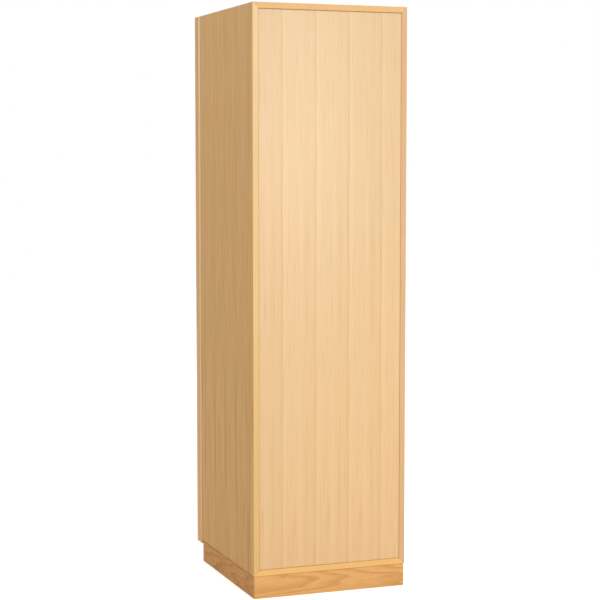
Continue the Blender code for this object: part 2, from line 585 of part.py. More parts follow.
def make_hinges(side_panel, door, zinc, steel):
    """Cups and pins on the door, arms and plates on the left side panel, round one common pin line."""
    panel = BOARD_THICKNESS - PIN_FROM_EDGE
    case_front = PIN_DEPTH + DOOR_GAP
    plate_mid = case_front + PLATE_SETBACK
    cup_radius = CUP_DIAMETER / 2
    cup_x = CUP_FROM_EDGE + cup_radius - PIN_FROM_EDGE
    bore_radius = PIN_RADIUS + FIT_GAP
    bore = rod(bore_radius, cup_radius, -cup_radius)
    on_pin = [Matrix.Identity(4)]

    # Cup: a round body let into the door, an oval flange on the door's inner face, and two dowels
    flange_foot = PIN_DEPTH + FIT_GAP
    flange_top = flange_foot + CUP_FLANGE_THICKNESS
    neck = flange_foot + CUP_FLANGE_THICKNESS / 2
    cup_floor = PIN_DEPTH - CUP_DEPTH
    body = bmesh.new()
    cup_profile = [(0.0, neck), (cup_radius, neck), (cup_radius, cup_floor + EDGE_EASE),
                   (cup_radius - EDGE_EASE, cup_floor), (0.0, cup_floor)]
    add_turned(body, cup_profile, placed((cup_x, 0.0, 0.0), Y), CUP_SIDES)
    cup = add_object("hinge_cup_1", body, zinc)
    flange = bmesh.new()
    flange_oval = oval(CUP_FLANGE_LENGTH, CUP_DIAMETER + 2 * CUP_FLANGE_RIM)
    add_prism(flange, flange_oval, X, Z, Y, flange_foot, flange_top)
    bmesh.ops.translate(flange, verts=flange.verts, vec=X * cup_x)
    combine(cup, flange, "UNION")
    dowel_floor = PIN_DEPTH - DOWEL_LENGTH
    dowel_x = cup_x + CUP_DOWEL_INBOARD
    cup_dowels = [placed((dowel_x, 0.0, up * CUP_DOWEL_SPACING / 2), Y) for up in (-1, 1)]
    combine_turned(cup, rod(DOWEL_RADIUS, neck, dowel_floor), cup_dowels, SMALL_ROUND_SIDES, "UNION")
    slot = bmesh.new()
    slot_half = ARM_WIDTH / 2 + HINGE_PLAY
    slot_end = panel + ARM_CLEARANCE + ARM_LEG + 2 * HINGE_PLAY
    knuckle_room = KNUCKLE_RADIUS + HINGE_PLAY
    add_box(slot, (-knuckle_room, -knuckle_room, -slot_half), (slot_end, case_front, slot_half))
    combine(cup, slot, "DIFFERENCE")
    combine_turned(cup, bore, on_pin, SMALL_ROUND_SIDES, "DIFFERENCE")

    # Pin, as long as the cup leaves room for
    pin_half = math.sqrt(cup_radius ** 2 - (cup_x + bore_radius) ** 2) - FIT_GAP
    pin_body = bmesh.new()
    add_turned(pin_body, rod(PIN_RADIUS, pin_half, -pin_half), on_pin[0], SMALL_ROUND_SIDES)
    pin = add_object("hinge_pin_1", pin_body, steel)

    # Arm
    hook = bmesh.new()
    add_prism(hook, arm_outline(), X, Y, Z, -ARM_WIDTH / 2, ARM_WIDTH / 2)
    arm = add_object("hinge_arm_1", hook, zinc)
    combine_turned(arm, bore, on_pin, SMALL_ROUND_SIDES, "DIFFERENCE")

    # Plate: two thin wings beside the saddle that the arm clips on to, and two dowels
    plate_foot = panel + FIT_GAP
    half_plate = PLATE_WIDTH / 2
    half_saddle = PLATE_SADDLE_WIDTH / 2
    wing_top = plate_foot + PLATE_WING
    saddle_top = panel + FIT_GAP + PLATE_THICKNESS
    hat = [(plate_foot, -half_plate), (plate_foot, half_plate), (wing_top, half_plate),
           (wing_top, half_saddle), (saddle_top, half_saddle), (saddle_top, -half_saddle),
           (wing_top, -half_saddle), (wing_top, -half_plate)]
    winged = bmesh.new()
    add_prism(winged, hat, X, Z, Y, plate_mid - PLATE_LENGTH / 2, plate_mid + PLATE_LENGTH / 2)
    plate = add_object("hinge_plate_1", winged, zinc)
    plate_dowels = [placed((panel, plate_mid, up * PLATE_DOWEL_SPACING / 2), X) for up in (-1, 1)]
    dowel_top = FIT_GAP + PLATE_WING / 2
    plate_dowel = rod(DOWEL_RADIUS, dowel_top, -DOWEL_LENGTH)
    combine_turned(plate, plate_dowel, plate_dowels, SMALL_ROUND_SIDES, "UNION")

    # The same hinge at each height, and its pockets in the door and the side panel
    hung = []
    for number, height in enumerate(HINGE_HEIGHTS, start=1):
        for kind, first in (("cup", cup), ("pin", pin), ("arm", arm), ("plate", plate)):
            piece = first
            if number > 1:
                piece = place_mesh("hinge_" + kind + "_" + str(number), first.data)
            piece.location = DOOR_AXIS + Z * height
            if kind in ("cup", "pin"):
                hung.append(piece)
    at_hinges = [Matrix.Translation(DOOR_AXIS + Z * height) for height in HINGE_HEIGHTS]
    pockets = [at @ placed((cup_x, 0.0, 0.0), Y) for at in at_hinges]
    dowel_holes = [at @ dowel for at in at_hinges for dowel in cup_dowels]
    panel_holes = [at @ dowel for at in at_hinges for dowel in plate_dowels]
    pocket = rod(cup_radius + FIT_GAP, case_front, cup_floor - FIT_GAP)
    dowel_hole = rod(DOWEL_RADIUS + FIT_GAP, case_front, dowel_floor - FIT_GAP)
    panel_hole = rod(DOWEL_RADIUS + FIT_GAP, dowel_top, -DOWEL_LENGTH - FIT_GAP)
    combine_turned(door, pocket, pockets, CUP_SIDES, "DIFFERENCE")
    combine_turned(door, dowel_hole, dowel_holes, SMALL_ROUND_SIDES, "DIFFERENCE")
    combine_turned(side_panel, panel_hole, panel_holes, SMALL_ROUND_SIDES, "DIFFERENCE")
    return hung


def make_catch(top_panel, door, plastic, steel):
    """A magnet in a small housing under the top panel, and the steel strike on the door that it holds."""
    centre_x = INNER_HALF - CATCH_FROM_SIDE - CATCH_WIDTH / 2
    top = INNER_TOP - FIT_GAP
    bottom = top - CATCH_HEIGHT
    mid_z = (top + bottom) / 2
    front = FRONT_Y + CATCH_SETBACK
    half_width = CATCH_WIDTH / 2
    housing = bmesh.new()
    back = front + CATCH_DEPTH
    add_box(housing, (centre_x - half_width, front, bottom), (centre_x + half_width, back, top))
    body = add_object("catch_body", housing, plastic)

    strike_back = DOOR_BACK_Y + FIT_GAP
    strike_front = strike_back + STRIKE_THICKNESS
    seat = front + MAGNET_SEAT

    def magnet_bar(face, gap):
        bar = bmesh.new()
        half_x = MAGNET_WIDTH / 2 + gap
        half_z = MAGNET_HEIGHT / 2 + gap
        add_box(bar, (centre_x - half_x, face, mid_z - half_z),
                (centre_x + half_x, seat + gap, mid_z + half_z))
        return bar

    add_object("catch_magnet", magnet_bar(strike_front + MAGNET_AIR_GAP, 0.0), steel)
    combine(body, magnet_bar(strike_back, FIT_GAP), "DIFFERENCE")
    reach = CATCH_SCREW_SPACING / 2
    screw_y = front + CATCH_DEPTH / 2
    places = [placed((centre_x + way * reach, screw_y, bottom - FIT_GAP), -Z) for way in SIDES.values()]
    names = ["catch_screw_" + side for side in SIDES]
    drive_screws(names, CATCH_SCREW, places, [body, top_panel], steel)

    plate = bmesh.new()
    half_strike = Vector((STRIKE_WIDTH / 2, 0.0, STRIKE_HEIGHT / 2))
    add_box(plate, (centre_x - half_strike.x, strike_back, mid_z - half_strike.z),
            (centre_x + half_strike.x, strike_front, mid_z + half_strike.z))
    strike = add_object("catch_strike", plate, steel)
    place = placed((centre_x, strike_front, mid_z), Y)
    screws = drive_screws(["strike_screw"], STRIKE_SCREW, [place], [strike, door], steel)
    return [strike] + screws


def make_bumpers(rubber):
    """Soft dots on the door that meet the front edge of the right side panel."""
    thick = DOOR_GAP - 2 * FIT_GAP
    dot = [(0.0, thick), (BUMPER_RADIUS - EDGE_EASE, thick), (BUMPER_RADIUS, thick - EDGE_EASE),
           (BUMPER_RADIUS, 0.0), (0.0, 0.0)]
    heights = {"lower": CASE_BOTTOM + BUMPER_FROM_END, "upper": OVERALL_HEIGHT - BUMPER_FROM_END}
    bumpers = []
    for level, height in heights.items():
        seat = (HALF_WIDTH - BOARD_THICKNESS / 2, DOOR_BACK_Y + FIT_GAP, height)
        bumper = bmesh.new()
        add_turned(bumper, dot, placed(seat, Y), SMALL_ROUND_SIDES)
        bumpers.append(add_object("door_bumper_" + level, bumper, rubber))
    return bumpers


def hang_on_axis(pieces):
    """Parent the door's pieces to an empty on the hinge line, and leave them where they are."""
    axis = bpy.data.objects.new("door_hinge_axis", None)
    bpy.context.scene.collection.objects.link(axis)
    axis.location = DOOR_AXIS
    for piece in pieces:
        piece.parent = axis
        piece.location -= DOOR_AXIS


def main():
    for item in list(bpy.data.objects):
        bpy.data.objects.remove(item, do_unlink=True)
    veneer = material("oak_veneer", (0.87, 0.61, 0.35), 0.45)
    oak = material("solid_oak", (0.75, 0.41, 0.15), 0.45)
    beech = material("beech", (0.70, 0.48, 0.28), 0.60)
    zinc = material("nickel_plated_zinc", (0.62, 0.61, 0.58), 0.30, 1.0)
    chrome = material("chromed_steel", (0.75, 0.75, 0.75), 0.12, 1.0)
    steel = material("zinc_plated_steel", (0.60, 0.60, 0.60), 0.35, 1.0)
    plastic = material("brown_plastic", (0.23, 0.13, 0.07), 0.50)
    rubber = material("clear_rubber", (0.80, 0.80, 0.78), 0.40)

    case = make_case(veneer, beech)
    make_plinth(case["bottom"], oak, beech, steel)
    make_shelf(case, veneer, steel)
    make_rail(case, chrome)
    door, door_pieces = make_door(veneer, oak, steel)
    door_pieces += make_hinges(case["left"], door, zinc, steel)
    door_pieces += make_catch(case["top"], door, plastic, steel)
    door_pieces += make_bumpers(rubber)
    hang_on_axis(door_pieces)
    for piece in bpy.data.objects:
        if piece.type == "MESH":
            piece.data.shade_smooth()
            piece.data.set_sharp_from_angle(angle=SMOOTH_UP_TO)


main()
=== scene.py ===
# %% [markdown]
# # An oak wardrobe, dressed for its picture
# The solid model is already packed: every board, hinge and screw is a node that sits in one shared frame,
# in metres, with Z up and the front towards -Y. This lesson gives each of them its finish, models again
# the pieces that a solid model leaves plain, and then sets up the floor, the light and the camera.

# %% Load the wardrobe
import math

import bmesh
import bpy
from mathutils import Euler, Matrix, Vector


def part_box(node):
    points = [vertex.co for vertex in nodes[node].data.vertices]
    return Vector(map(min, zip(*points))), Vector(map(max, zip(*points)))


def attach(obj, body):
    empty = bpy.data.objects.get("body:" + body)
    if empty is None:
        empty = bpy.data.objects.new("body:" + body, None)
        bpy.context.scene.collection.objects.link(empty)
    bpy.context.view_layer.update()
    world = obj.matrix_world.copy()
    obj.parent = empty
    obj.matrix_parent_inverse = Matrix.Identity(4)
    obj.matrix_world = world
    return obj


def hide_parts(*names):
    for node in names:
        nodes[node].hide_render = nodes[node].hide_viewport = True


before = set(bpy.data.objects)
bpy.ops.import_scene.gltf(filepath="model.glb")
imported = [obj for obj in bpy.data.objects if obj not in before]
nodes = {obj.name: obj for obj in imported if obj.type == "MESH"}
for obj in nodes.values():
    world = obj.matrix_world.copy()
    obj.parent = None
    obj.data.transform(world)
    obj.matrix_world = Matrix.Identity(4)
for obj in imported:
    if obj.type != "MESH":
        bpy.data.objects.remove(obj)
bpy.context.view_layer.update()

bpy.ops.object.select_all(action="DESELECT")

# %% [markdown]
# ## Helpers for finishes
# Colours are easiest to read as sRGB hex values, as a paint chart or a picture editor gives them, but
# shaders work in linear light, so one function turns the first into the second. Another adds a node,
# sets it up and links it in one go. A material is then a short list of such calls, read from the
# coordinates at the top down, and a last call connects what they made to the shader.

# %% Colour and node helpers
BLEND = {"data_type": "RGBA"}
MULTIPLY = {"data_type": "RGBA", "blend_type": "MULTIPLY"}


def linear(hex_colour):
    """An sRGB colour such as "#EDC28E" as linear red, green, blue and alpha."""
    parts = [int(hex_colour[start:start + 2], 16) / 255 for start in (1, 3, 5)]
    return [part / 12.92 if part <= 0.04045 else ((part + 0.055) / 1.055) ** 2.4 for part in parts] + [1.0]


def add(tree, kind, settings=None, **inputs):
    """Add a node, set its properties, and set or link its inputs by name (or by number, as in in0)."""
    node = tree.nodes.new("ShaderNode" + kind)
    for name, value in (settings or {}).items():
        setattr(node, name, value)
    for name, value in inputs.items():
        key = int(name[2:]) if name[2:].isdigit() else name.replace("_", " ")
        if isinstance(value, bpy.types.NodeSocket):
            tree.links.new(value, node.inputs[key])
        else:
            node.inputs[key].default_value = value
    return node


print("Veneer colour in linear light:", [round(part, 3) for part in linear("#EDC28E")[:3]])

# %% Starting a finish, ending it, and putting it on
def start(name):
    """A new material, its node tree, and the coordinates of the object that wears it."""
    made = bpy.data.materials.new(name)
    made.use_nodes = True
    return made, made.node_tree, add(made.node_tree, "TexCoord").outputs["Object"]


def connect(finish, colour, dull, relief=None, **constants):
    """Link colour, roughness and bump to the shader of a finish, and set what is the same all over it."""
    tree = finish.node_tree
    shader = tree.nodes["Principled BSDF"]
    for name, value in constants.items():
        shader.inputs[name.replace("_", " ")].default_value = value
    tree.links.new(colour, shader.inputs["Base Color"])
    tree.links.new(dull.outputs[0], shader.inputs["Roughness"])
    if relief:
        tree.links.new(relief.outputs[0], shader.inputs["Normal"])
    print(finish.name, "with", len(tree.nodes), "nodes")


def dress(finish, *names):
    """Put a finish in the material slots of nodes of the model."""
    for name in names:
        for slot in nodes[name].material_slots:
            slot.material = finish
    print(finish.name, "on", ", ".join(names))


print("Nodes to dress:", sum(1 for node in nodes.values() if node.material_slots))

# %% [markdown]
# ## Leaves of veneer
# The case, the back, the door and the shelf are board faced with oak veneer. Veneer is sliced from a log like
# the pages of a book, and the leaves, 108 mm wide here, are laid side by side as they come. So each leaf shows
# nearly the same figure as its neighbour, and the grain breaks off at each join. An image of veneer would be
# quick but would stretch. Here the grain is noise that starts afresh at every join and changes a little from
# leaf to leaf. It also wanders a few millimetres from straight over the height of a board. The leaves are
# counted from 40, so that none has a number below zero.

# %% Coordinates that follow the leaves
LEAF, FIRST_LEAF = 0.108, 40
LEAF_CHANGE, WANDER, WANDER_LENGTH = 1.6, 0.008, 0.625


def lay_leaves(tree, place, across, along, join, flitch):
    """Grain coordinates, the plain axes, a value per leaf, and the place in a leaf from 0 at a join to 1."""
    axes = add(tree, "SeparateXYZ", Vector=place).outputs
    count = add(tree, "Math", {"operation": "MULTIPLY_ADD"}, in0=axes[across], in1=-1 / LEAF,
                in2=FIRST_LEAF + join / LEAF)
    leaf = add(tree, "Math", {"operation": "FLOOR"}, in0=count.outputs[0])
    inside = add(tree, "Math", {"operation": "FRACT"}, in0=count.outputs[0]).outputs[0]
    tone = add(tree, "TexWhiteNoise", {"noise_dimensions": "1D"}, W=leaf.outputs[0]).outputs["Value"]
    slice_at = add(tree, "Math", {"operation": "MULTIPLY_ADD"}, in0=tone, in1=LEAF_CHANGE, in2=flitch)
    width = add(tree, "Math", {"operation": "MULTIPLY"}, in0=inside, in1=LEAF)
    bend = add(tree, "TexNoise", Vector=place, Scale=1 / WANDER_LENGTH, Detail=1.0)
    wander = add(tree, "Math", {"operation": "MULTIPLY_ADD"}, in0=bend.outputs[0], in1=WANDER, in2=width.outputs[0])
    grain = add(tree, "CombineXYZ", X=wander.outputs[0], Y=slice_at.outputs[0], Z=axes[along])
    return grain.outputs[0], axes, tone, inside


print("A board 0.5 m wide takes", math.ceil(0.5 / LEAF), "leaves")

# %% [markdown]
# ## Streaks, growth lines and tone
# What the eye gets from straight-cut oak is long soft streaks, finer fibres among them, and thin darker
# lines where the growth rings were cut. Each is a noise that is stretched along the grain. Real fibres are
# well under a millimetre wide and growth lines about two, and neither would show in the picture, so they are
# drawn 3 mm and 3.5 to 7 mm wide. The fibres crowd near the joins, and they come and go in patches, because even
# fibres look like corduroy. Across a leaf there is a dark seam at the join, a paler strip beside it, a calm
# middle and a darker band. Each leaf is a little lighter or darker than the next, and the wood drifts between a
# greener and a redder cast. Over that goes a tint by height. On the back it is painted light: the foot is
# painted more saturated and the head paler, as if lit more from above. On the sides the foot is darker and yellower.

# %% Streaks and fibres
STREAK, FIBRE, PATCH = (0.014, 0.50), (0.003, 0.10), (0.035, 0.22)


def draw_fibres(tree, grain, inside):
    """How dark the wood is, from 0 to 1: streaks, and fibres in patches."""
    wide = add(tree, "Mapping", Vector=grain, Scale=(1 / STREAK[0], 1.0, 1 / STREAK[1]))
    streaks = add(tree, "TexNoise", Vector=wide.outputs[0], Scale=1.0, Detail=2.0, Roughness=0.55)
    fine = add(tree, "Mapping", Vector=grain, Scale=(1 / FIBRE[0], 1.0, 1 / FIBRE[1]))
    fibres = add(tree, "TexNoise", Vector=fine.outputs[0], Scale=1.0, Detail=2.0, Roughness=0.60)
    patch = add(tree, "Mapping", Vector=grain, Scale=(1 / PATCH[0], 1.0, 1 / PATCH[1]))
    dense = add(tree, "TexNoise", Vector=patch.outputs[0], Scale=1.0, Detail=1.0)
    aside = add(tree, "Math", {"operation": "SUBTRACT"}, in0=inside, in1=0.5)
    edge = add(tree, "Math", {"operation": "ABSOLUTE"}, in0=aside.outputs[0])
    crowd = add(tree, "Math", {"operation": "MULTIPLY_ADD"}, in0=edge.outputs[0], in1=0.5, in2=dense.outputs[0])
    share = add(tree, "MapRange", Value=crowd.outputs[0], in1=0.48, in2=0.74, in3=0.12, in4=0.78)
    both = add(tree, "Mix", Factor=share.outputs[0], A=streaks.outputs[0], B=fibres.outputs[0])
    return add(tree, "MapRange", Value=both.outputs[0], in1=0.32, in2=0.68).outputs[0]


print("A leaf has room for", round(LEAF / STREAK[0]), "streaks or", round(LEAF / FIBRE[0]), "fibres")

# %% Growth lines
LONG_LINE, SHORT_LINE = (0.007, 0.45), (0.0035, 0.16)
STRONG_BELOW, FAINT_ABOVE = 0.45, 1.05


def draw_lines(tree, grain, height, size, strong, faint):
    """Thin dark lines from the crests of a slim noise, strong at the foot of a board and faint at its head."""
    slim = add(tree, "Mapping", Vector=grain, Scale=(1 / size[0], 1.0, 1 / size[1]))
    crest = add(tree, "TexNoise", Vector=slim.outputs[0], Scale=1.0, Detail=1.0)
    reach = add(tree, "MapRange", Value=height, in1=STRONG_BELOW, in2=FAINT_ABOVE, in3=strong, in4=faint)
    return add(tree, "MapRange", {"interpolation_type": "SMOOTHSTEP"}, Value=crest.outputs[0],
               in1=0.55, in2=0.73, in4=reach.outputs[0]).outputs[0]


print("Growth lines come from a noise of", LONG_LINE, "m, or", SHORT_LINE, "m where the leaves are cut steeper")

# %% Figure across a leaf
FIGURE = {0.0: 0.90, 0.02: 0.92, 0.045: 1.01, 0.1: 1.03, 0.18: 1.01, 0.3: 1.0, 0.6: 1.01, 0.74: 0.98, 0.85: 1.0,
          1.0: 0.98}
WARMTH = (1.5, 2.4)


def draw_figure(tree, inside):
    """How light a leaf is across its width, as a colour near white, a little warmer where it is darker."""
    ramp = add(tree, "ValToRGB", Fac=inside)
    stops = ramp.color_ramp.elements
    for place, level in FIGURE.items():
        stop = stops[0] if place == 0.0 else stops[-1] if place == 1.0 else stops.new(place)
        stop.color = (level, level ** WARMTH[0], level ** WARMTH[1], 1.0)
    return ramp.outputs["Color"]


print("The figure runs from", min(FIGURE.values()), "to", max(FIGURE.values()))

# %% Cast of the wood, leaf by leaf
DRIFT, GREENER, REDDER, LEAF_TONE = (0.12, 0.35), "#FDFEFB", "#FFFDF9", 0.005
# FOOT and HEAD are the heights over which the tint by height changes; on the back and the lipping it is painted
# light.
FOOT, HEAD = 0.1, 1.7


def shift_tone(tree, place, height, colour, tone, figure, foot, head):
    """Drift the cast of the wood, tint it by height (painted light on the back), lay the figure over it and lighten
    or darken each leaf.
    """
    broad = add(tree, "Mapping", Vector=place, Scale=(1 / DRIFT[0], 1 / DRIFT[0], 1 / DRIFT[1]))
    drift = add(tree, "TexNoise", Vector=broad.outputs[0], Scale=1.0, Detail=1.0)
    near = add(tree, "MapRange", Value=drift.outputs[0], in1=0.35, in2=0.65)
    cast = add(tree, "Mix", BLEND, in0=near.outputs[0], in6=linear(GREENER), in7=linear(REDDER))
    mixed = add(tree, "Mix", MULTIPLY, in0=1.0, in6=colour, in7=cast.outputs[2])
    # Tint by height from the foot colour to the head colour: painted light on the back, whose head is painted paler.
    rise = add(tree, "MapRange", Value=height, in1=FOOT, in2=HEAD)
    pale = add(tree, "Mix", BLEND, in0=rise.outputs[0], in6=linear(foot), in7=linear(head))
    paled = add(tree, "Mix", MULTIPLY, in0=1.0, in6=mixed.outputs[2], in7=pale.outputs[2])
    figured = add(tree, "Mix", MULTIPLY, in0=1.0, in6=paled.outputs[2], in7=figure)
    level = add(tree, "MapRange", Value=tone, in3=1 - LEAF_TONE, in4=1 + LEAF_TONE)
    return add(tree, "HueSaturation", Color=figured.outputs[2], Value=level.outputs[0]).outputs[0]


print("The cast drifts over", DRIFT, "m, and leaves differ by", LEAF_TONE, "either way")

# %% [markdown]
# ## Lipping
# The cut edges of the boards are covered with strips of solid oak, the lipping. It is more yellow than the
# veneer and no two strips are quite alike. On the door and on the right side a strip is painted paler towards
# its head: painted light, as if lit more from above, and on the door's edge a painted highlight. The strips could
# be pieces of their own, but they are flush and about a millimetre thick, so the finish finds them by their
# place: they are whatever lies outside two limits on one axis.

# %% Lipping on the edges
# The lipping's change from foot to head, painted light where the head is paler, is complete at this height.
LIP, LIP_PAINTED_LIGHT_TOP = 0.001, 1.75


def lay_lipping(tree, axes, dark, colour, strip):
    """Lay strips over the colour outside the limits of an axis, from a foot colour up to a head colour; a paler head
    is painted light.
    """
    foot, head, axis, low, high = strip
    rise = add(tree, "MapRange", Value=axes["Z"], in1=FOOT, in2=LIP_PAINTED_LIGHT_TOP)
    pale = add(tree, "Mix", BLEND, in0=rise.outputs[0], in6=linear(foot), in7=linear(head))
    shade = add(tree, "MapRange", Value=dark, in3=1.03, in4=0.96)
    wood = add(tree, "HueSaturation", Color=pale.outputs[2], Value=shade.outputs[0])
    above = add(tree, "Math", {"operation": "GREATER_THAN"}, in0=axes[axis], in1=high)
    below = add(tree, "Math", {"operation": "LESS_THAN"}, in0=axes[axis], in1=low)
    mask = add(tree, "Math", {"operation": "MAXIMUM"}, in0=above.outputs[0], in1=below.outputs[0])
    return add(tree, "Mix", BLEND, in0=mask.outputs[0], in6=colour, in7=wood.outputs[0]).outputs[2]


print("Lipping is", LIP * 1000, "mm thick")

# %% [markdown]
# ## Satin lacquer
# The wood has a thin satin lacquer that leaves the pores open. The pores are short dents along the grain
# that dull the shine. They are about a quarter of a millimetre wide on real oak, which would not show, so
# they are drawn 2.4 mm wide. The specular level says how much the coat shines, and it is set on the shader
# itself, because it is the same all over a board.

# %% Lacquer and pores
PORE = (0.0024, 0.030)


def satin_lacquer(finish, grain, colour, shine):
    """End a wood finish with lacquer, and with pores that dull and dent it."""
    tree = finish.node_tree
    short = add(tree, "Mapping", Vector=grain, Scale=(1 / PORE[0], 1 / PORE[0], 1 / PORE[1]))
    pores = add(tree, "TexNoise", Vector=short.outputs[0], Scale=1.0, Detail=1.0)
    dull = add(tree, "MapRange", Value=pores.outputs[0], in1=0.3, in2=0.7, in3=0.40, in4=0.52)
    relief = add(tree, "Bump", Strength=0.12, Distance=0.0002, Height=pores.outputs[0])
    connect(finish, colour, dull, relief, Specular_IOR_Level=shine)


print("Pores are drawn", PORE[0] * 1000, "mm wide and", PORE[1] * 1000, "mm long")

# %% [markdown]
# ## Veneered boards
# The boards now get their finishes. One function puts the last steps together, so that a board is one call.
# Each board takes its own colours and lines, the place of its first join, and a number for the flitch, the
# bundle of leaves that it was laid from. The growth lines are drawn stronger low on the sides, where the wood
# comes from nearer the root. The back has a glossier coat than the rest.

# %% Veneered oak
LINE_COLOUR = "#D6AC54"


def veneered_oak(name, across, along, pale, dark, leaves, lines, shine, strip=None, cast=("#FFFFFF", "#FFFFFF")):
    """Oak veneer whose grain runs along one axis, in leaves side by side across another.

    leaves is the place of a join and the flitch; lines is the size of the growth lines and their strength low and
    high on the board; strip is what lay_lipping takes; cast is a tint at the foot and one at the head, which is
    painted light where the head is painted paler, as on the back.
    """
    made, tree, place = start(name)
    grain, axes, tone, inside = lay_leaves(tree, place, across, along, *leaves)
    fibres = draw_fibres(tree, grain, inside)
    figure = draw_figure(tree, inside)
    face = add(tree, "Mix", BLEND, in0=fibres, in6=linear(pale), in7=linear(dark))
    line = draw_lines(tree, grain, axes["Z"], *lines)
    lined = add(tree, "Mix", MULTIPLY, in0=line, in6=face.outputs[2], in7=linear(LINE_COLOUR))
    colour = shift_tone(tree, place, axes["Z"], lined.outputs[2], tone, figure, *cast)
    if strip:
        colour = lay_lipping(tree, axes, fibres, colour, strip)
    satin_lacquer(made, grain, colour, shine)
    return made


print("Growth lines darken the wood to", [round(part, 2) for part in linear(LINE_COLOUR)[:3]], "of its light")

# %% The case
FRONT_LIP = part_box("side_panel_right")[0].y + LIP
BACK_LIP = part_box("side_panel_right")[1].y - LIP
SIDE = ("#EFC184", "#DDA864")
SIDE_CAST = ("#F3EEDF", "#FFFFFF")
# The back's tints are painted light: its foot is painted yellower, its head paler and less red, as if lit more from
# above.
veneer_back = veneered_oak("oak_veneer_back", "X", "Z", "#ECC295", "#E7BD8E", (0.0515, 1.0),
                           (SHORT_LINE, 0.22, 0.18), 0.70, cast=("#FFFFF2", "#F7FFFF"))
# The right side's lipping is painted paler towards its head: painted light, as if lit more from above.
veneer_right = veneered_oak("oak_veneer_right_side", "Y", "Z", *SIDE, (0.02, 8.0), (LONG_LINE, 0.95, 0.24), 0.07,
                            ("#E7BC7A", "#EECC98", "Y", FRONT_LIP, BACK_LIP), SIDE_CAST)
veneer_left = veneered_oak("oak_veneer_left_side", "Y", "Z", *SIDE, (0.05, 15.0), (LONG_LINE, 0.60, 0.24), 0.07,
                           ("#DEB483", "#DCB185", "Y", FRONT_LIP, BACK_LIP), SIDE_CAST)
dress(veneer_right, "side_panel_right")
dress(veneer_left, "side_panel_left")

# %% Top, bottom, shelf and door
DOOR_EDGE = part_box("door_panel")[1].x - LIP
SHELF_LIP, NO_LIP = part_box("hat_shelf")[0].y + LIP, 1.0
LEVEL = (LONG_LINE, 0.4, 0.4)
veneer_top = veneered_oak("oak_veneer_top", "Y", "X", *SIDE, (0.03, 22.0), LEVEL, 0.08,
                          ("#E8B97E", "#E8B97E", "Y", FRONT_LIP, BACK_LIP))
veneer_bottom = veneered_oak("oak_veneer_bottom", "Y", "X", *SIDE, (0.04, 29.0), LEVEL, 0.08,
                             ("#F2C078", "#F2C078", "Y", FRONT_LIP, BACK_LIP))
veneer_shelf = veneered_oak("oak_veneer_shelf", "Y", "X", *SIDE, (0.01, 36.0), LEVEL, 0.08,
                            ("#F0C384", "#F0C384", "Y", SHELF_LIP, NO_LIP))
# The door's lipping is painted much paler towards its head than its veneer: a painted highlight on the door's edge,
# strongest at the top.
veneer_door = veneered_oak("oak_veneer_door", "X", "Z", *SIDE, (0.0, 43.0), (LONG_LINE, 0.4, 0.3), 0.12,
                           ("#EBB97A", "#FFDCA6", "X", -DOOR_EDGE, DOOR_EDGE))
dress(veneer_top, "top_panel")
dress(veneer_bottom, "bottom_panel")
dress(veneer_shelf, "hat_shelf")
dress(veneer_door, "door_panel")

# %% [markdown]
# ## Solid oak
# The plinth and the pull are solid oak, sawn flat from the log, so the growth rings meet the face at a
# slant and draw long soft arches. The rings are nearly round tubes about the heart of the tree, so the
# pattern is worked out as one: the distance from a slanting heart line, bent by noise, and cut into rings.
# A wave texture alone would give even stripes with no arches. Fibres and pores lie over the rings, drawn
# coarser than in life so that they show.

# %% Rings round a heart line
RING_BEND, BEND_BY = (0.06, 0.65), 0.030


def draw_rings(tree, axes, grain, along, across, through, heart, ring_mm):
    """Pale early wood (0) to dark late wood (1) in rings round a heart line that slants both ways."""
    rise_at, depth_at, rise_slope, depth_slope = heart
    slant = add(tree, "Math", {"operation": "MULTIPLY_ADD"}, in0=axes[along], in1=rise_slope, in2=rise_at)
    sink = add(tree, "Math", {"operation": "MULTIPLY_ADD"}, in0=axes[along], in1=depth_slope, in2=depth_at)
    rise = add(tree, "Math", {"operation": "SUBTRACT"}, in0=axes[across], in1=slant.outputs[0])
    inward = add(tree, "Math", {"operation": "SUBTRACT"}, in0=axes[through], in1=sink.outputs[0])
    flat = add(tree, "CombineXYZ", X=rise.outputs[0], Y=inward.outputs[0])
    reach = add(tree, "VectorMath", {"operation": "LENGTH"}, in0=flat.outputs[0])
    long = add(tree, "Mapping", Vector=grain, Scale=(1 / RING_BEND[0], 1 / RING_BEND[0], 1 / RING_BEND[1]))
    bend = add(tree, "TexNoise", Vector=long.outputs[0], Scale=1.0, Detail=2.0, Roughness=0.5)
    bent = add(tree, "Math", {"operation": "MULTIPLY_ADD"}, in0=bend.outputs[0], in1=BEND_BY,
               in2=reach.outputs["Value"])
    turns = add(tree, "Math", {"operation": "MULTIPLY"}, in0=bent.outputs[0], in1=1000 / ring_mm)
    ring = add(tree, "Math", {"operation": "FRACT"}, in0=turns.outputs[0])
    late = add(tree, "MapRange", {"interpolation_type": "SMOOTHSTEP"}, Value=ring.outputs[0], in1=0.25, in2=0.85)
    fresh = add(tree, "MapRange", {"interpolation_type": "SMOOTHSTEP"}, Value=ring.outputs[0], in1=0.88, in2=1.0,
                in3=1.0, in4=0.0)
    return add(tree, "Math", {"operation": "MULTIPLY"}, in0=late.outputs[0], in1=fresh.outputs[0]).outputs[0]


low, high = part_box("plinth_back")
print("The rings are cut by boards", round(high.z - low.z, 3), "m high and", round(high.x - low.x, 3), "m long")

# %% Solid oak
OAK_FIBRE, OAK_PORE = (0.0035, 0.045), (0.0025, 0.022)
FIBRE_SHARE, PORE_COLOUR = 0.62, "#C79A66"


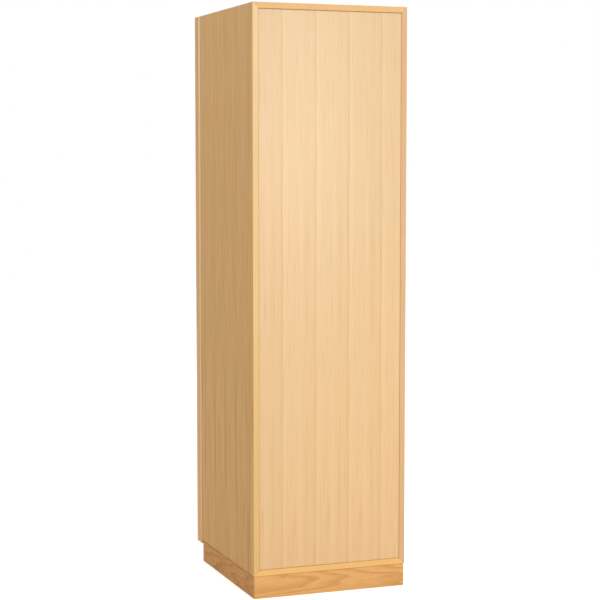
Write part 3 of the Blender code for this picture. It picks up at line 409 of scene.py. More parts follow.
def solid_oak(name, along, across, through, heart, pale, dark, ring_mm, pitted, shine):
    """Flat-sawn oak: rings round a heart line, with fibres and dark pores over them."""
    made, tree, place = start(name)
    axes = add(tree, "SeparateXYZ", Vector=place).outputs
    grain = add(tree, "CombineXYZ", X=axes[across], Y=axes[through], Z=axes[along]).outputs[0]
    late = draw_rings(tree, axes, grain, along, across, through, heart, ring_mm)
    fine = add(tree, "Mapping", Vector=grain, Scale=(1 / OAK_FIBRE[0], 1 / OAK_FIBRE[0], 1 / OAK_FIBRE[1]))
    fibres = add(tree, "TexNoise", Vector=fine.outputs[0], Scale=1.0, Detail=2.0, Roughness=0.6)
    both = add(tree, "Mix", Factor=FIBRE_SHARE, A=late, B=fibres.outputs[0])
    spread = add(tree, "MapRange", Value=both.outputs[0], in1=0.15, in2=0.80)
    wood = add(tree, "Mix", BLEND, in0=spread.outputs[0], in6=linear(pale), in7=linear(dark))
    short = add(tree, "Mapping", Vector=grain, Scale=(1 / OAK_PORE[0], 1 / OAK_PORE[0], 1 / OAK_PORE[1]))
    pores = add(tree, "TexNoise", Vector=short.outputs[0], Scale=1.0, Detail=1.0)
    open_at = add(tree, "MapRange", Value=pores.outputs[0], in1=0.58, in2=0.74, in4=pitted)
    colour = add(tree, "Mix", MULTIPLY, in0=open_at.outputs[0], in6=wood.outputs[2], in7=linear(PORE_COLOUR))
    satin_lacquer(made, grain, colour.outputs[2], shine)
    return made


print("Fibres make up", FIBRE_SHARE, "of the figure, and rings the rest")

# %% Oak for the plinth and the pull
oak_wide = solid_oak("solid_oak_wide_plinth", "X", "Z", "Y", (0.03, 0.12, 0.03, 0.03), "#EFBA78", "#D79C5A", 5,
                     0.25, 0.10)
oak_deep = solid_oak("solid_oak_deep_plinth", "Y", "Z", "X", (0.02, 0.09, 0.04, 0.03), "#E1A862", "#C5894A", 5,
                     0.90, 0.04)
oak_pull = solid_oak("solid_oak_pull", "Z", "Y", "X", (-0.29, 0.21, 0.01, 0.02), "#EFBD7D", "#DDA366", 10,
                     0.40, 0.08)

# %% [markdown]
# ## Helpers for modelling
# Some pieces are modelled again with the tools that one uses by hand: open a piece in edit mode, select a
# few faces or edges, and extrude, inset or bevel them. Faces and edges are picked by a test on their place
# or direction. A piece that is nearly right starts as a copy of a node, with its loose triangles merged
# into whole faces. Others start as a cube or a disc.

# %% Opening a piece
def alone(piece):
    """Select one piece only, and make it the active one."""
    bpy.ops.object.select_all(action="DESELECT")
    piece.select_set(True)
    bpy.context.view_layer.objects.active = piece


def edit(piece):
    """Open a piece in edit mode, alone, with nothing in it selected."""
    alone(piece)
    bpy.ops.object.mode_set(mode="EDIT")
    bpy.ops.mesh.select_all(action="DESELECT")


def begin(name):
    """Name the cube or disc that was just added, fix its place and size in its mesh, and open it."""
    piece = bpy.context.object
    piece.name = name
    alone(piece)
    bpy.ops.object.transform_apply(location=True, rotation=True, scale=True)
    edit(piece)
    return piece


print("Modelling starts in", bpy.context.mode, "mode")

# %% Picking and pulling parts of a piece
NEAR = 1e-5


def pick(piece, kind, test):
    """In edit mode, select only the faces, edges or vertices that pass a test, and count them."""
    bpy.ops.mesh.select_mode(type=kind)
    bpy.ops.mesh.select_all(action="DESELECT")
    shape = bmesh.from_edit_mesh(piece.data)
    shape.normal_update()
    chosen = [part for part in {"FACE": shape.faces, "EDGE": shape.edges, "VERT": shape.verts}[kind] if test(part)]
    for part in chosen:
        part.select_set(True)
    shape.select_flush_mode()
    bmesh.update_edit_mesh(piece.data)
    return len(chosen)


def middle(edge):
    """The middle of an edge."""
    return (edge.verts[0].co + edge.verts[1].co) / 2


def extrude(along):
    """Extrude what is selected, and move it."""
    bpy.ops.mesh.extrude_region_move(TRANSFORM_OT_translate={"value": along})


print("Points closer than", NEAR * 1000, "mm count as one")

# %% Copying a node
FLAT_WITHIN = math.radians(1.0)


def copy_of(source, name):
    """A new object with its own copy of an object's mesh."""
    piece = bpy.data.objects.new(name, source.data.copy())
    bpy.context.scene.collection.objects.link(piece)
    return piece


def copy_node(node, name):
    """A copy of a node, with its loose triangles merged into whole faces."""
    piece = copy_of(nodes[node], name)
    edit(piece)
    bpy.ops.mesh.customdata_custom_splitnormals_clear()
    bpy.ops.mesh.select_all(action="SELECT")
    bpy.ops.mesh.remove_doubles(threshold=NEAR)
    bpy.ops.mesh.dissolve_limited(angle_limit=FLAT_WITHIN)
    bpy.ops.object.mode_set(mode="OBJECT")
    return piece


print("A plinth board of the solid model has", len(nodes["plinth_back"].data.polygons), "loose triangles")

# %% Finishing a piece
SMOOTH_WITHIN = math.radians(35.0)


def settle(piece, finish, body, slot, *stands_for):
    """Shade a finished piece by its angles, dress it, and let it ride on a body in place of some nodes."""
    alone(piece)
    bpy.ops.object.transform_apply(location=True, rotation=True, scale=True)
    bpy.ops.object.shade_smooth_by_angle(angle=SMOOTH_WITHIN)
    piece.data.materials.clear()
    piece.data.materials.append(finish)
    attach(piece, body)
    if stands_for:
        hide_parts(*stands_for)
    print(piece.name, "with", len(piece.data.polygons), "faces rides on the", body)


print("Faces that meet within", round(math.degrees(SMOOTH_WITHIN)), "degrees are shaded as one")

# %% [markdown]
# ## Back panel
# The back is a thin panel whose tongue sits in a groove round the case. Its field stands a little short of
# the case boards, most of all at the head and on the right, where the panel has sunk and slid in its groove,
# so a dark line runs round it. The field is raised 2 mm out of the plain panel, so that it nearly fills its
# recess and the case throws hardly any shadow on it. Paint or a texture could fake the line, but a real gap
# keeps its shadow from every side. The tongue is a slab, its back face is inset, the sides of the inset face
# are moved in by their gaps, and the field is extruded from it.

# %% Back panel with a shadow gap
LEFT_GAP, RIGHT_GAP = 0.0002, 0.0008
HEAD_GAP, FOOT_GAP = 0.0021, 0.0007
TONGUE, RISE, FIELD_ROUND = 0.0030, 0.0020, 0.0005
low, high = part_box("back_panel")
half_up = (low.z + high.z) / 2
bpy.ops.mesh.primitive_cube_add(size=1.0, location=(low + high) / 2, scale=high - low)
back = begin("back_panel_field")
pick(back, "FACE", lambda face: face.normal.y > 0.9)
bpy.ops.transform.translate(value=(0.0, low.y + TONGUE - high.y, 0.0))
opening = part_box("side_panel_right")[0].x
bpy.ops.mesh.inset(thickness=high.x - opening + LEFT_GAP)
field = [vert.index for vert in bmesh.from_edit_mesh(back.data).verts if vert.select]
for on_side, shift in ((lambda at: at.z > half_up, (0.0, 0.0, LEFT_GAP - HEAD_GAP)),
                       (lambda at: at.z < half_up, (0.0, 0.0, FOOT_GAP - LEFT_GAP)),
                       (lambda at: at.x > 0.0, (LEFT_GAP - RIGHT_GAP, 0.0, 0.0))):
    pick(back, "VERT", lambda vert: vert.index in field and on_side(vert.co))
    bpy.ops.transform.translate(value=shift)
pick(back, "FACE", lambda face: {vert.index for vert in face.verts} == set(field))
extrude((0.0, high.y + RISE - low.y - TONGUE, 0.0))
pick(back, "EDGE", lambda edge: abs(middle(edge).y - high.y - RISE) < NEAR and edge.calc_face_angle(0.0) > 1.0)
bpy.ops.mesh.bevel(offset=FIELD_ROUND, segments=2)
bpy.ops.object.mode_set(mode="OBJECT")
settle(back, veneer_back, "case", "veneer_back", "back_panel")

# %% [markdown]
# ## Plinth boards
# The plinth stands 2 mm inside the case, and its top edge is chamfered, so the case seems to float on a thin
# dark line. The boards are copies of their nodes, and one slanting bisect planes the chamfer on each.

# %% Chamfered plinth boards
def plane_off(node, name, place, slope):
    """A copy of a node without what lies beyond a slanting plane."""
    piece = copy_node(node, name)
    edit(piece)
    bpy.ops.mesh.select_all(action="SELECT")
    bpy.ops.mesh.bisect(plane_co=place, plane_no=slope.normalized(), use_fill=True, clear_outer=True)
    bpy.ops.object.mode_set(mode="OBJECT")
    return piece


WIDE_CHAMFER, DEEP_CHAMFER = 0.0015, 0.0040
PLINTH = {"back": (Vector((0, 1, 0)), oak_wide, "wide", WIDE_CHAMFER),
          "front": (Vector((0, -1, 0)), oak_wide, "wide", WIDE_CHAMFER),
          "left": (Vector((-1, 0, 0)), oak_deep, "deep", DEEP_CHAMFER),
          "right": (Vector((1, 0, 0)), oak_deep, "deep", DEEP_CHAMFER)}
for side, (outward, finish, run, chamfer) in PLINTH.items():
    node = "plinth_" + side
    reach = max(corner.dot(outward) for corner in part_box(node))
    edge_at = outward * reach + Vector((0, 0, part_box(node)[1].z - chamfer))
    board = plane_off(node, "plinth_board_" + side, edge_at, outward + Vector((0, 0, 1)))
    settle(board, finish, "case", "oak_plinth_" + run, node)

# %% [markdown]
# ## Pull
# The pull is a full-height oak bar with a cove for the fingers. Where its foot meets the door, its outer
# edge is taken off, so the joint shows as a dark line. The bar gets its chamfer as the plinth did.

# %% Chamfered pull
PULL_CHAMFER = 0.0030
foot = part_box("door_pull")[1]
pull = plane_off("door_pull", "door_pull_bar", (foot.x, foot.y - PULL_CHAMFER, 0.0), Vector((1, 1, 0)))
settle(pull, oak_pull, "door", "oak_pull", "door_pull")

# %% [markdown]
# ## Glue lines
# The four corners of the case are mitred and glued. The glue that is left in a mitre dries to a thin, honey-
# coloured line, and without it daylight would show through the joint. A line is a slab 0.29 mm thick that is
# turned by 45 degrees into its mitre, with its long edges beveled. Neighbouring mitres lean opposite ways,
# so the turn changes its sign from one to the next.

# %% Dried glue
GLUE_PATCH = 0.008
glue, tree, place = start("dried_wood_glue")
patches = add(tree, "TexNoise", Vector=place, Scale=1 / GLUE_PATCH, Detail=2.0)
tint = add(tree, "Mix", BLEND, in0=patches.outputs[0], in6=linear("#C9975A"), in7=linear("#AA7A44"))
dull = add(tree, "MapRange", Value=patches.outputs[0], in3=0.35, in4=0.55)
connect(glue, tint.outputs[2], dull)

# %% Glue in the mitres
GLUE_THICK, GLUE_EASE = 0.00029, 0.0007
low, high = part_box("side_panel_right")
board = high.x - low.x
middle_y, run = (low.y + high.y) / 2, high.y - low.y - 2 * GLUE_EASE
levels = (("lower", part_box("bottom_panel")[0].z + board / 2, 1), ("upper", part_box("top_panel")[1].z - board / 2, -1))
for level, z_in, lean in levels:
    for side, way in (("left", -1), ("right", 1)):
        bpy.ops.mesh.primitive_cube_add(size=1.0, location=(way * (high.x - board / 2), middle_y, z_in),
                                        rotation=(0.0, math.radians(45.0 * way * lean), 0.0),
                                        scale=(board * math.sqrt(2) - 2 * GLUE_EASE, run, GLUE_THICK))
        line = begin("mitre_glue_" + level + "_" + side)
        pick(line, "EDGE", lambda edge: abs(edge.verts[0].co.y - edge.verts[1].co.y) > run / 2)
        bpy.ops.mesh.bevel(offset=GLUE_THICK / 4, segments=1)
        bpy.ops.object.mode_set(mode="OBJECT")
        settle(line, glue, "case", "beech")

# %% [markdown]
# ## Metal finishes
# The hinges are zinc castings with nickel plating, which gives a warm, slightly soft shine with a faint
# ripple. The rail and its sockets are steel tube and pressings with polished chrome plating, nearly a
# mirror, with fine lines along the tube where it was polished and rubbed by hangers. Screws, pins and the
# strike are steel with thin zinc plating, which is duller and cloudy, bluish in places and yellowish in
# others. All are fully metallic, so only the colour, the roughness and the bump tell them apart.

# %% Nickel-plated zinc
RIPPLE, NICKEL_CLOUD = 0.0025, 0.012
nickel, tree, place = start("nickel_plated_zinc_casting")
ripple = add(tree, "TexNoise", Vector=place, Scale=1 / RIPPLE, Detail=2.0)
cloud = add(tree, "TexNoise", Vector=place, Scale=1 / NICKEL_CLOUD, Detail=2.0)
warm = add(tree, "Mix", BLEND, in0=cloud.outputs[0], in6=linear("#D6D2C9"), in7=linear("#BDB8AE"))
dull = add(tree, "MapRange", Value=cloud.outputs[0], in1=0.3, in2=0.7, in3=0.24, in4=0.38)
relief = add(tree, "Bump", Strength=0.10, Distance=0.0002, Height=ripple.outputs[0])
connect(nickel, warm.outputs[2], dull, relief, Metallic=1.0)

# %% Chromed steel
POLISH, RUB = (0.15, 0.0012), (0.006, 0.03)
chrome, tree, place = start("polished_chromed_steel")
drawn = add(tree, "Mapping", Vector=place, Scale=(1 / POLISH[0], 1 / POLISH[1], 1 / POLISH[1]))
lines = add(tree, "TexNoise", Vector=drawn.outputs[0], Scale=1.0, Detail=2.0)
rubbed = add(tree, "Mapping", Vector=place, Scale=(1 / RUB[0], 1 / RUB[1], 1 / RUB[1]))
marks = add(tree, "TexNoise", Vector=rubbed.outputs[0], Scale=1.0, Detail=3.0)
both = add(tree, "Mix", Factor=0.5, A=lines.outputs[0], B=marks.outputs[0])
dull = add(tree, "MapRange", Value=both.outputs[0], in1=0.35, in2=0.70, in3=0.07, in4=0.20)
plate = add(tree, "Mix", BLEND, in0=both.outputs[0], in6=linear("#E4E6E8"), in7=linear("#CDD0D3"))
relief = add(tree, "Bump", Strength=0.04, Distance=0.0001, Height=lines.outputs[0])
connect(chrome, plate.outputs[2], dull, relief, Metallic=1.0)

# %% Zinc-plated steel
ZINC_CLOUD, SPECK = 0.004, 0.0006
zinc, tree, place = start("zinc_plated_steel")
cloud = add(tree, "TexNoise", Vector=place, Scale=1 / ZINC_CLOUD, Detail=3.0)
speck = add(tree, "TexNoise", Vector=place, Scale=1 / SPECK, Detail=1.0)
cast = add(tree, "Mix", BLEND, in0=cloud.outputs[0], in6=linear("#BFC6CC"), in7=linear("#C9C2AE"))
dull = add(tree, "MapRange", Value=cloud.outputs[0], in1=0.3, in2=0.7, in3=0.28, in4=0.46)
relief = add(tree, "Bump", Strength=0.08, Distance=0.0001, Height=speck.outputs[0])
connect(zinc, cast.outputs[2], dull, relief, Metallic=1.0)
dress(zinc, *[name for name in nodes if name.startswith("hinge_pin")])

# %% [markdown]
# ## Beech, plastic, magnet and rubber
# The plinth blocks and the splines in the mitres are beech, which is pinkish and covered with short dark
# flecks. The catch is a moulded plastic box with a fine sparked texture, and it holds a sintered magnet,
# dark grey and grainy. The bumpers are clear rubber that has gone slightly milky, so light passes through
# them but nothing is seen sharply.

# %% Beech
FLECK, BEECH_TONE = (0.0008, 0.0035), 0.020
beech, tree, place = start("planed_beech")
dash = add(tree, "Mapping", Vector=place, Scale=(1 / FLECK[0], 1 / FLECK[0], 1 / FLECK[1]))
flecks = add(tree, "TexNoise", Vector=dash.outputs[0], Scale=1.0, Detail=1.0)
fleck = add(tree, "MapRange", Value=flecks.outputs[0], in1=0.58, in2=0.70)
broad = add(tree, "TexNoise", Vector=place, Scale=1 / BEECH_TONE, Detail=2.0)
wood = add(tree, "Mix", BLEND, in0=broad.outputs[0], in6=linear("#E3BC96"), in7=linear("#D3A67D"))
colour = add(tree, "Mix", BLEND, in0=fleck.outputs[0], in6=wood.outputs[2], in7=linear("#A9784F"))
relief = add(tree, "Bump", Strength=0.15, Distance=0.0002, Height=flecks.outputs[0])
dull = add(tree, "MapRange", Value=broad.outputs[0], in3=0.55, in4=0.70)
connect(beech, colour.outputs[2], dull, relief)
dress(beech, *[name for name in nodes if name.startswith(("plinth_block", "mitre_spline"))])

# %% Moulded brown plastic
SPARK, FLOW = 0.0008, 0.015
plastic, tree, place = start("moulded_brown_plastic")
spark = add(tree, "TexVoronoi", Vector=place, Scale=1 / SPARK)
flow = add(tree, "TexNoise", Vector=place, Scale=1 / FLOW, Detail=2.0)
tint = add(tree, "Mix", BLEND, in0=flow.outputs[0], in6=linear("#6A4630"), in7=linear("#573824"))
dull = add(tree, "MapRange", Value=spark.outputs["Distance"], in3=0.38, in4=0.55)
relief = add(tree, "Bump", Strength=0.20, Distance=0.0001, Height=spark.outputs["Distance"])
connect(plastic, tint.outputs[2], dull, relief)

# %% Sintered magnet
GRIT = 0.0007
magnet, tree, place = start("sintered_ferrite_magnet")
grit = add(tree, "TexNoise", Vector=place, Scale=1 / GRIT, Detail=3.0)
tint = add(tree, "Mix", BLEND, in0=grit.outputs[0], in6=linear("#2B2A2A"), in7=linear("#494645"))
dull = add(tree, "MapRange", Value=grit.outputs[0], in3=0.60, in4=0.80)
relief = add(tree, "Bump", Strength=0.30, Distance=0.0001, Height=grit.outputs[0])
connect(magnet, tint.outputs[2], dull, relief)

# %% Clear rubber
HAZE = 0.002
rubber, tree, place = start("milky_clear_rubber")
haze = add(tree, "TexNoise", Vector=place, Scale=1 / HAZE, Detail=2.0)
tint = add(tree, "Mix", BLEND, in0=haze.outputs[0], in6=linear("#F4F4EF"), in7=linear("#E2E2DA"))
dull = add(tree, "MapRange", Value=haze.outputs[0], in3=0.25, in4=0.45)
relief = add(tree, "Bump", Strength=0.05, Distance=0.0001, Height=haze.outputs[0])
connect(rubber, tint.outputs[2], dull, relief, IOR=1.41, Transmission_Weight=0.55)

# %% [markdown]
# ## Hanging rail and its sockets
# The rail is an oval tube. A circle is pulled apart into an oval by moving its upper and lower halves, its
# edge is extruded along the wardrobe, and Solidify gives the wall its thickness. A socket starts as the
# same kind of oval and is built outwards by extrusions and insets: a flange, a cup, and the bore that the
# tube sits in. Its second copy is turned half round for the other side.

# %% Oval face
OVAL_SIDES = 48
low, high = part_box("hanging_rail")
RAIL_RADIUS = (high.y - low.y) / 2
HALF_STRAIGHT = (high.z - low.z) / 2 - RAIL_RADIUS


def oval(name, centre, radius):
    """A flat oval face in the YZ plane, its long way upright."""
    bpy.ops.mesh.primitive_circle_add(vertices=OVAL_SIDES, radius=radius, fill_type="NGON", location=centre,
                                      rotation=(0.0, math.radians(90.0), 0.0))
    piece = begin(name)
    for way in (1, -1):
        pick(piece, "VERT", lambda vert: (vert.co.z - centre.z) * way > NEAR / 10)
        bpy.ops.transform.translate(value=(0.0, 0.0, way * HALF_STRAIGHT))
    return piece


print("The rail's ends have a radius of", round(RAIL_RADIUS * 1000, 1), "mm")

# %% Rail tube
RAIL_WALL = 0.0012
rail = oval("hanging_rail_tube", Vector((low.x, (low.y + high.y) / 2, (low.z + high.z) / 2)), RAIL_RADIUS)
bpy.ops.mesh.select_all(action="SELECT")
bpy.ops.mesh.delete(type="ONLY_FACE")
bpy.ops.mesh.select_all(action="SELECT")
extrude((high.x - low.x, 0.0, 0.0))
bpy.ops.mesh.select_all(action="SELECT")
bpy.ops.mesh.normals_make_consistent(inside=False)
bpy.ops.object.mode_set(mode="OBJECT")
wall = rail.modifiers.new("wall", "SOLIDIFY")
wall.thickness = RAIL_WALL
wall.offset = -1.0
bpy.ops.object.modifier_apply(modifier="wall")
settle(rail, chrome, "case", "chromed_steel", "hanging_rail")

# %% Rail sockets
FLANGE, RIM, CUP_WALL, CUP_LENGTH = 0.003, 0.005, 0.0025, 0.012
low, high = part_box("rail_socket_left")
face_x = high.x - CUP_LENGTH - FLANGE
rail_y, rail_z = (low.y + high.y) / 2, (low.z + high.z) / 2
socket = oval("rail_socket_left_flange", Vector((face_x, rail_y, rail_z)), (high.y - low.y) / 2)
bpy.ops.mesh.select_all(action="SELECT")
extrude((FLANGE, 0.0, 0.0))
bpy.ops.mesh.inset(thickness=RIM)
extrude((CUP_LENGTH, 0.0, 0.0))
bpy.ops.mesh.inset(thickness=CUP_WALL)
extrude((-CUP_LENGTH, 0.0, 0.0))
bpy.ops.mesh.select_all(action="SELECT")
bpy.ops.mesh.normals_make_consistent(inside=False)
print("A socket stands", round((FLANGE + CUP_LENGTH) * 1000, 1), "mm off the side panel")

# %% Rounded edges, and the socket on the other side
SOCKET_ROUND, SLACK = 0.0008, 0.001


def shows(edge):
    """Whether an edge is sharp, and lies neither on the side panel nor at the bottom of the bore."""
    at = middle(edge) - Vector((face_x, rail_y, rail_z))
    in_bore = abs(at.y) < RAIL_RADIUS + SLACK and abs(at.z) < RAIL_RADIUS + HALF_STRAIGHT + SLACK
    at_bottom = abs(at.x - FLANGE) < SLACK / 10 and in_bore
    return edge.calc_face_angle(0.0) > 1.0 and abs(at.x) > SLACK / 10 and not at_bottom


pick(socket, "EDGE", shows)
bpy.ops.mesh.bevel(offset=SOCKET_ROUND, segments=3)
bpy.ops.object.mode_set(mode="OBJECT")
other = copy_of(socket, "rail_socket_right_flange")
other.rotation_euler.z = math.pi
other.location.y = 2 * rail_y
settle(socket, chrome, "case", "chromed_steel", "rail_socket_left")
settle(other, chrome, "case", "chromed_steel", "rail_socket_right")

# %% [markdown]
# ## Castings with softened edges
# A casting has no knife edges: each corner is a small round that catches the light. The hinge cups, arms
# and plates, the catch and the strike are copies of their nodes with a Bevel modifier on every edge sharper
# than 40 degrees, applied before the piece is settled.

# %% Hinges, catch and strike
SHARP = math.radians(40.0)
CATCH_ROUND, STRIKE_ROUND = 0.0008, 0.0004
NUMBERS = ("1", "2", "3", "4")
HINGE_PARTS = {"cup": ("door", 0.0004), "arm": ("case", 0.0006), "plate": ("case", 0.0005)}


def soften(node, name, width, finish, body, slot):
    """A copy of a node with its sharp edges rounded, in place of the node."""
    piece = copy_node(node, name)
    rounding = piece.modifiers.new("rounding", "BEVEL")
    rounding.width = width
    rounding.segments = 2
    rounding.limit_method = "ANGLE"
    rounding.angle_limit = SHARP
    bpy.ops.object.modifier_apply(modifier="rounding")
    settle(piece, finish, body, slot, node)


for number in NUMBERS:
    for part, (body, width) in HINGE_PARTS.items():
        node = "hinge_" + part + "_" + number
        soften(node, "hinge_" + part + "_casting_" + number, width, nickel, body, "nickel_zinc")
soften("catch_body", "catch_box", CATCH_ROUND, plastic, "case", "brown_plastic")
soften("catch_strike", "catch_strike_plate", STRIKE_ROUND, zinc, "door", "zinc_steel")

# %% [markdown]
# ## Magnet and pole plates
# In a magnetic catch the magnet lies between two steel plates, which stand a little proud and touch the
# strike. The three are stacked in the room of the magnet's node, each a slab with rounded edges.

# %% Stacked magnet
PLATE, PROUD = 0.0012, 0.0008
CORE_ROUND, PLATE_ROUND = 0.0002, 0.0003
low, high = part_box("catch_magnet")


def slab(name, low, high, round_by):
    """A slab between two corners, its edges rounded."""
    bpy.ops.mesh.primitive_cube_add(size=1.0, location=(low + high) / 2, scale=high - low)
    piece = begin(name)
    bpy.ops.mesh.select_all(action="SELECT")
    bpy.ops.mesh.bevel(offset=round_by, segments=2)
    bpy.ops.object.mode_set(mode="OBJECT")
    return piece


core = slab("catch_magnet_core", Vector((low.x, low.y + PROUD, low.z + PLATE)), high - Vector((0, 0, PLATE)),
            CORE_ROUND)
under = slab("catch_pole_plate_lower", low, Vector((high.x, high.y, low.z + PLATE)), PLATE_ROUND)
over = slab("catch_pole_plate_upper", Vector((low.x, low.y, high.z - PLATE)), high, PLATE_ROUND)
settle(core, magnet, "case", "magnet", "catch_magnet")
settle(under, zinc, "case", "zinc_steel")
settle(over, zinc, "case", "zinc_steel")

# %% [markdown]
# ## Screws
# Every screw has a cross-shaped recess for the driver. The recess is punched with a Boolean: a small cube has
# its four sides extruded into a cross, and that punch is subtracted from each head. Only the sides of the
# cube itself are picked, because an arm that is already there has sides that face the same way. A screw is
# built downwards from a disc by extruding it, with each step narrowed or widened. A countersunk head is a
# cone that sits flush, and a round head stands on the surface with its rim rounded.

# %% Cross-shaped punch
ARM, REACH, DEEP, TAPER = 0.0009, 0.0016, 0.0012, 0.7
bpy.ops.mesh.primitive_cube_add(size=1.0, location=(0, 0, 0), scale=(ARM, ARM, 2 * DEEP))
punch = begin("cross_punch")
for outward in (Vector((1, 0, 0)), Vector((-1, 0, 0)), Vector((0, 1, 0)), Vector((0, -1, 0))):
    pick(punch, "FACE", lambda face: (face.calc_center_median() - outward * ARM / 2).length < ARM / 10)
    extrude(outward * REACH)
    bpy.ops.transform.resize(value=(1.0, 1.0, TAPER))
bpy.ops.object.mode_set(mode="OBJECT")
print("Punch", [round(size * 1000, 2) for size in punch.dimensions], "mm, with", len(punch.data.polygons), "faces")

# %% Turning a small piece from a disc
ROUND_SIDES = 24


def turned(name, steps, round_by=0.0, segments=3):
    """A round piece along Z: a disc at the first radius and height, extruded through (radius, height) steps."""
    radius, top = steps[0]
    bpy.ops.mesh.primitive_circle_add(vertices=ROUND_SIDES, radius=radius, fill_type="NGON", location=(0, 0, top))
    piece = begin(name)
    bpy.ops.mesh.select_all(action="SELECT")
    for (before, above), (after, below) in zip(steps, steps[1:]):
        extrude((0, 0, below - above))
        bpy.ops.transform.resize(value=(after / before, after / before, 1.0), center_override=(0, 0, below))
    bpy.ops.mesh.select_all(action="SELECT")
    bpy.ops.mesh.normals_make_consistent(inside=False)
    if round_by:
        pick(piece, "EDGE", lambda edge: abs(middle(edge).z - top) < NEAR / 10)
        bpy.ops.mesh.bevel(offset=round_by, segments=segments)
    bpy.ops.object.mode_set(mode="OBJECT")
    print(name, "turned through", len(steps), "steps")
    return piece


print("Small round pieces have", ROUND_SIDES, "sides")

# %% Punching the recess
def recess(piece):
    """Punch the cross into the head of a screw that stands upright at the origin."""
    cut = piece.modifiers.new("cut", "BOOLEAN")
    cut.operation = "DIFFERENCE"
    cut.object = punch
    bpy.ops.object.modifier_apply(modifier="cut")
    return piece


print("The recess is", DEEP * 1000, "mm deep")

# %% Copying a model to its places
def put(model, name, place, outward, body, *stands_for, finish=zinc, slot="zinc_steel"):
    """A copy of a model with its own mesh, its top at a place and facing outward."""
    piece = copy_of(model, name)
    piece.location = place
    piece.rotation_euler = outward.to_track_quat("Z", "Y").to_euler()
    settle(piece, finish, body, slot, *stands_for)


def top_of(node, outward):
    """The middle of a node's box on the side that faces outward."""
    low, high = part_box(node)
    half = (high - low) / 2
    return (low + high) / 2 + Vector(way * size for way, size in zip(outward, half))


def seat(model, node, name, outward, body, **look):
    """Put a copy of a model where a node is, in place of it."""
    put(model, name, top_of(node, outward), outward, body, node, **look)


INTO_CASE, DOWN = Vector((0, 1, 0)), Vector((0, 0, -1))
OUT_LEFT, OUT_RIGHT = Vector((1, 0, 0)), Vector((-1, 0, 0))
print("The first pull screw has its head at", [round(part, 4) for part in top_of("pull_screw_1", INTO_CASE)], "m")

# %% Countersunk screws in the pull and the strike
TIP, POINT = 0.0020, 0.0002


def screw(name, head, rim, neck, shank, length, round_by=0.0):
    """A screw with a recess: the head is full down to its rim, and has narrowed to the shank at its neck."""
    steps = [(head, 0.0), (head, -rim), (shank, -neck), (shank, TIP - length), (POINT, -length)]
    return recess(turned(name, steps, round_by))


sunk = screw("sunk_model", head=0.0040, rim=0.0003, neck=0.0022, shank=0.0020, length=0.0400)
for number in NUMBERS:
    seat(sunk, "pull_screw_" + number, "pull_cross_screw_" + number, INTO_CASE, "door")
short = screw("short_model", head=0.0034, rim=0.0002, neck=0.0018, shank=0.00175, length=0.0140)
seat(short, "strike_screw", "strike_cross_screw", INTO_CASE, "door")

# %% Round-headed screws in the catch and the plinth
small = screw("small_model", head=0.0034, rim=0.0017, neck=0.0017, shank=0.00175, length=0.0267, round_by=0.0010)
for side in ("left", "right"):
    seat(small, "catch_screw_" + side, "catch_cross_screw_" + side, DOWN, "case")
large = screw("large_model", head=0.0048, rim=0.0026, neck=0.0026, shank=0.0025, length=0.0596, round_by=0.0016)
for corner in ("front_left", "front_right", "back_left", "back_right"):
    seat(large, "plinth_screw_" + corner, "plinth_cross_screw_" + corner, DOWN, "case")

# %% [markdown]
# ## Screws on the hinges
# A concealed hinge is full of small screws: two that spread the dowels of the cup in the door, two that
# do the same for the plate on the side panel, and two on the arm that set the door's gap. They are shallow
# round heads, one model for each kind, set on the castings at the places of the dowels.

# %% Models of the hinge screws
CUP_HEAD, PLATE_HEAD, ARM_HEAD = 0.0009, 0.0011, 0.0008


def stud(name, head, rim, shank, length, round_by):
    """A shallow round head with a recess, on a short piece of its shank."""
    return recess(turned(name, [(head, 0.0), (head, -rim), (shank, -rim), (shank, -length)], round_by))


cup_head = stud("cup_head_model", head=0.0031, rim=CUP_HEAD, shank=0.0019, length=0.0030, round_by=0.0005)
plate_head = stud("plate_head_model", head=0.0034, rim=PLATE_HEAD, shank=0.0020, length=0.0040, round_by=0.0006)
arm_head = stud("arm_head_model", head=0.0028, rim=ARM_HEAD, shank=0.0016, length=0.0030, round_by=0.0004)

# %% Hinge screws
CUP_DOWELS, PLATE_DOWELS, ARM_SCREWS = 0.0225, 0.0160, 0.0090
INBOARD, WING = 0.0095, 0.0025
for number in NUMBERS:
    flange = top_of("hinge_cup_" + number, INTO_CASE) + Vector((INBOARD, CUP_HEAD, 0))
    plate = top_of("hinge_plate_" + number, OUT_LEFT)
    plate.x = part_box("side_panel_left")[1].x + WING + PLATE_HEAD
    bar = top_of("hinge_arm_" + number, OUT_LEFT)
    bar.x += ARM_HEAD
    for place, way in (("lower", -1), ("upper", 1)):
        put(cup_head, "hinge_cup_screw_" + place + "_" + number, flange + Vector((0, 0, way * CUP_DOWELS)),
            INTO_CASE, "door")
        put(plate_head, "hinge_plate_screw_" + place + "_" + number, plate + Vector((0, 0, way * PLATE_DOWELS)),
            OUT_LEFT, "case")
    for place, way in (("front", -1), ("back", 1)):
        put(arm_head, "hinge_arm_screw_" + place + "_" + number,
            Vector((bar.x, plate.y + way * ARM_SCREWS, bar.z)), OUT_LEFT, "case")

# %% [markdown]
# ## Shelf pins and bumpers
# The shelf rests on four turned steel pins, each with a rounded nose and a thin groove before its collar.
# Two soft dots on the door meet the side panel and quiet it as it shuts. Both kinds are turned from a disc
# as the screws were, with no recess.

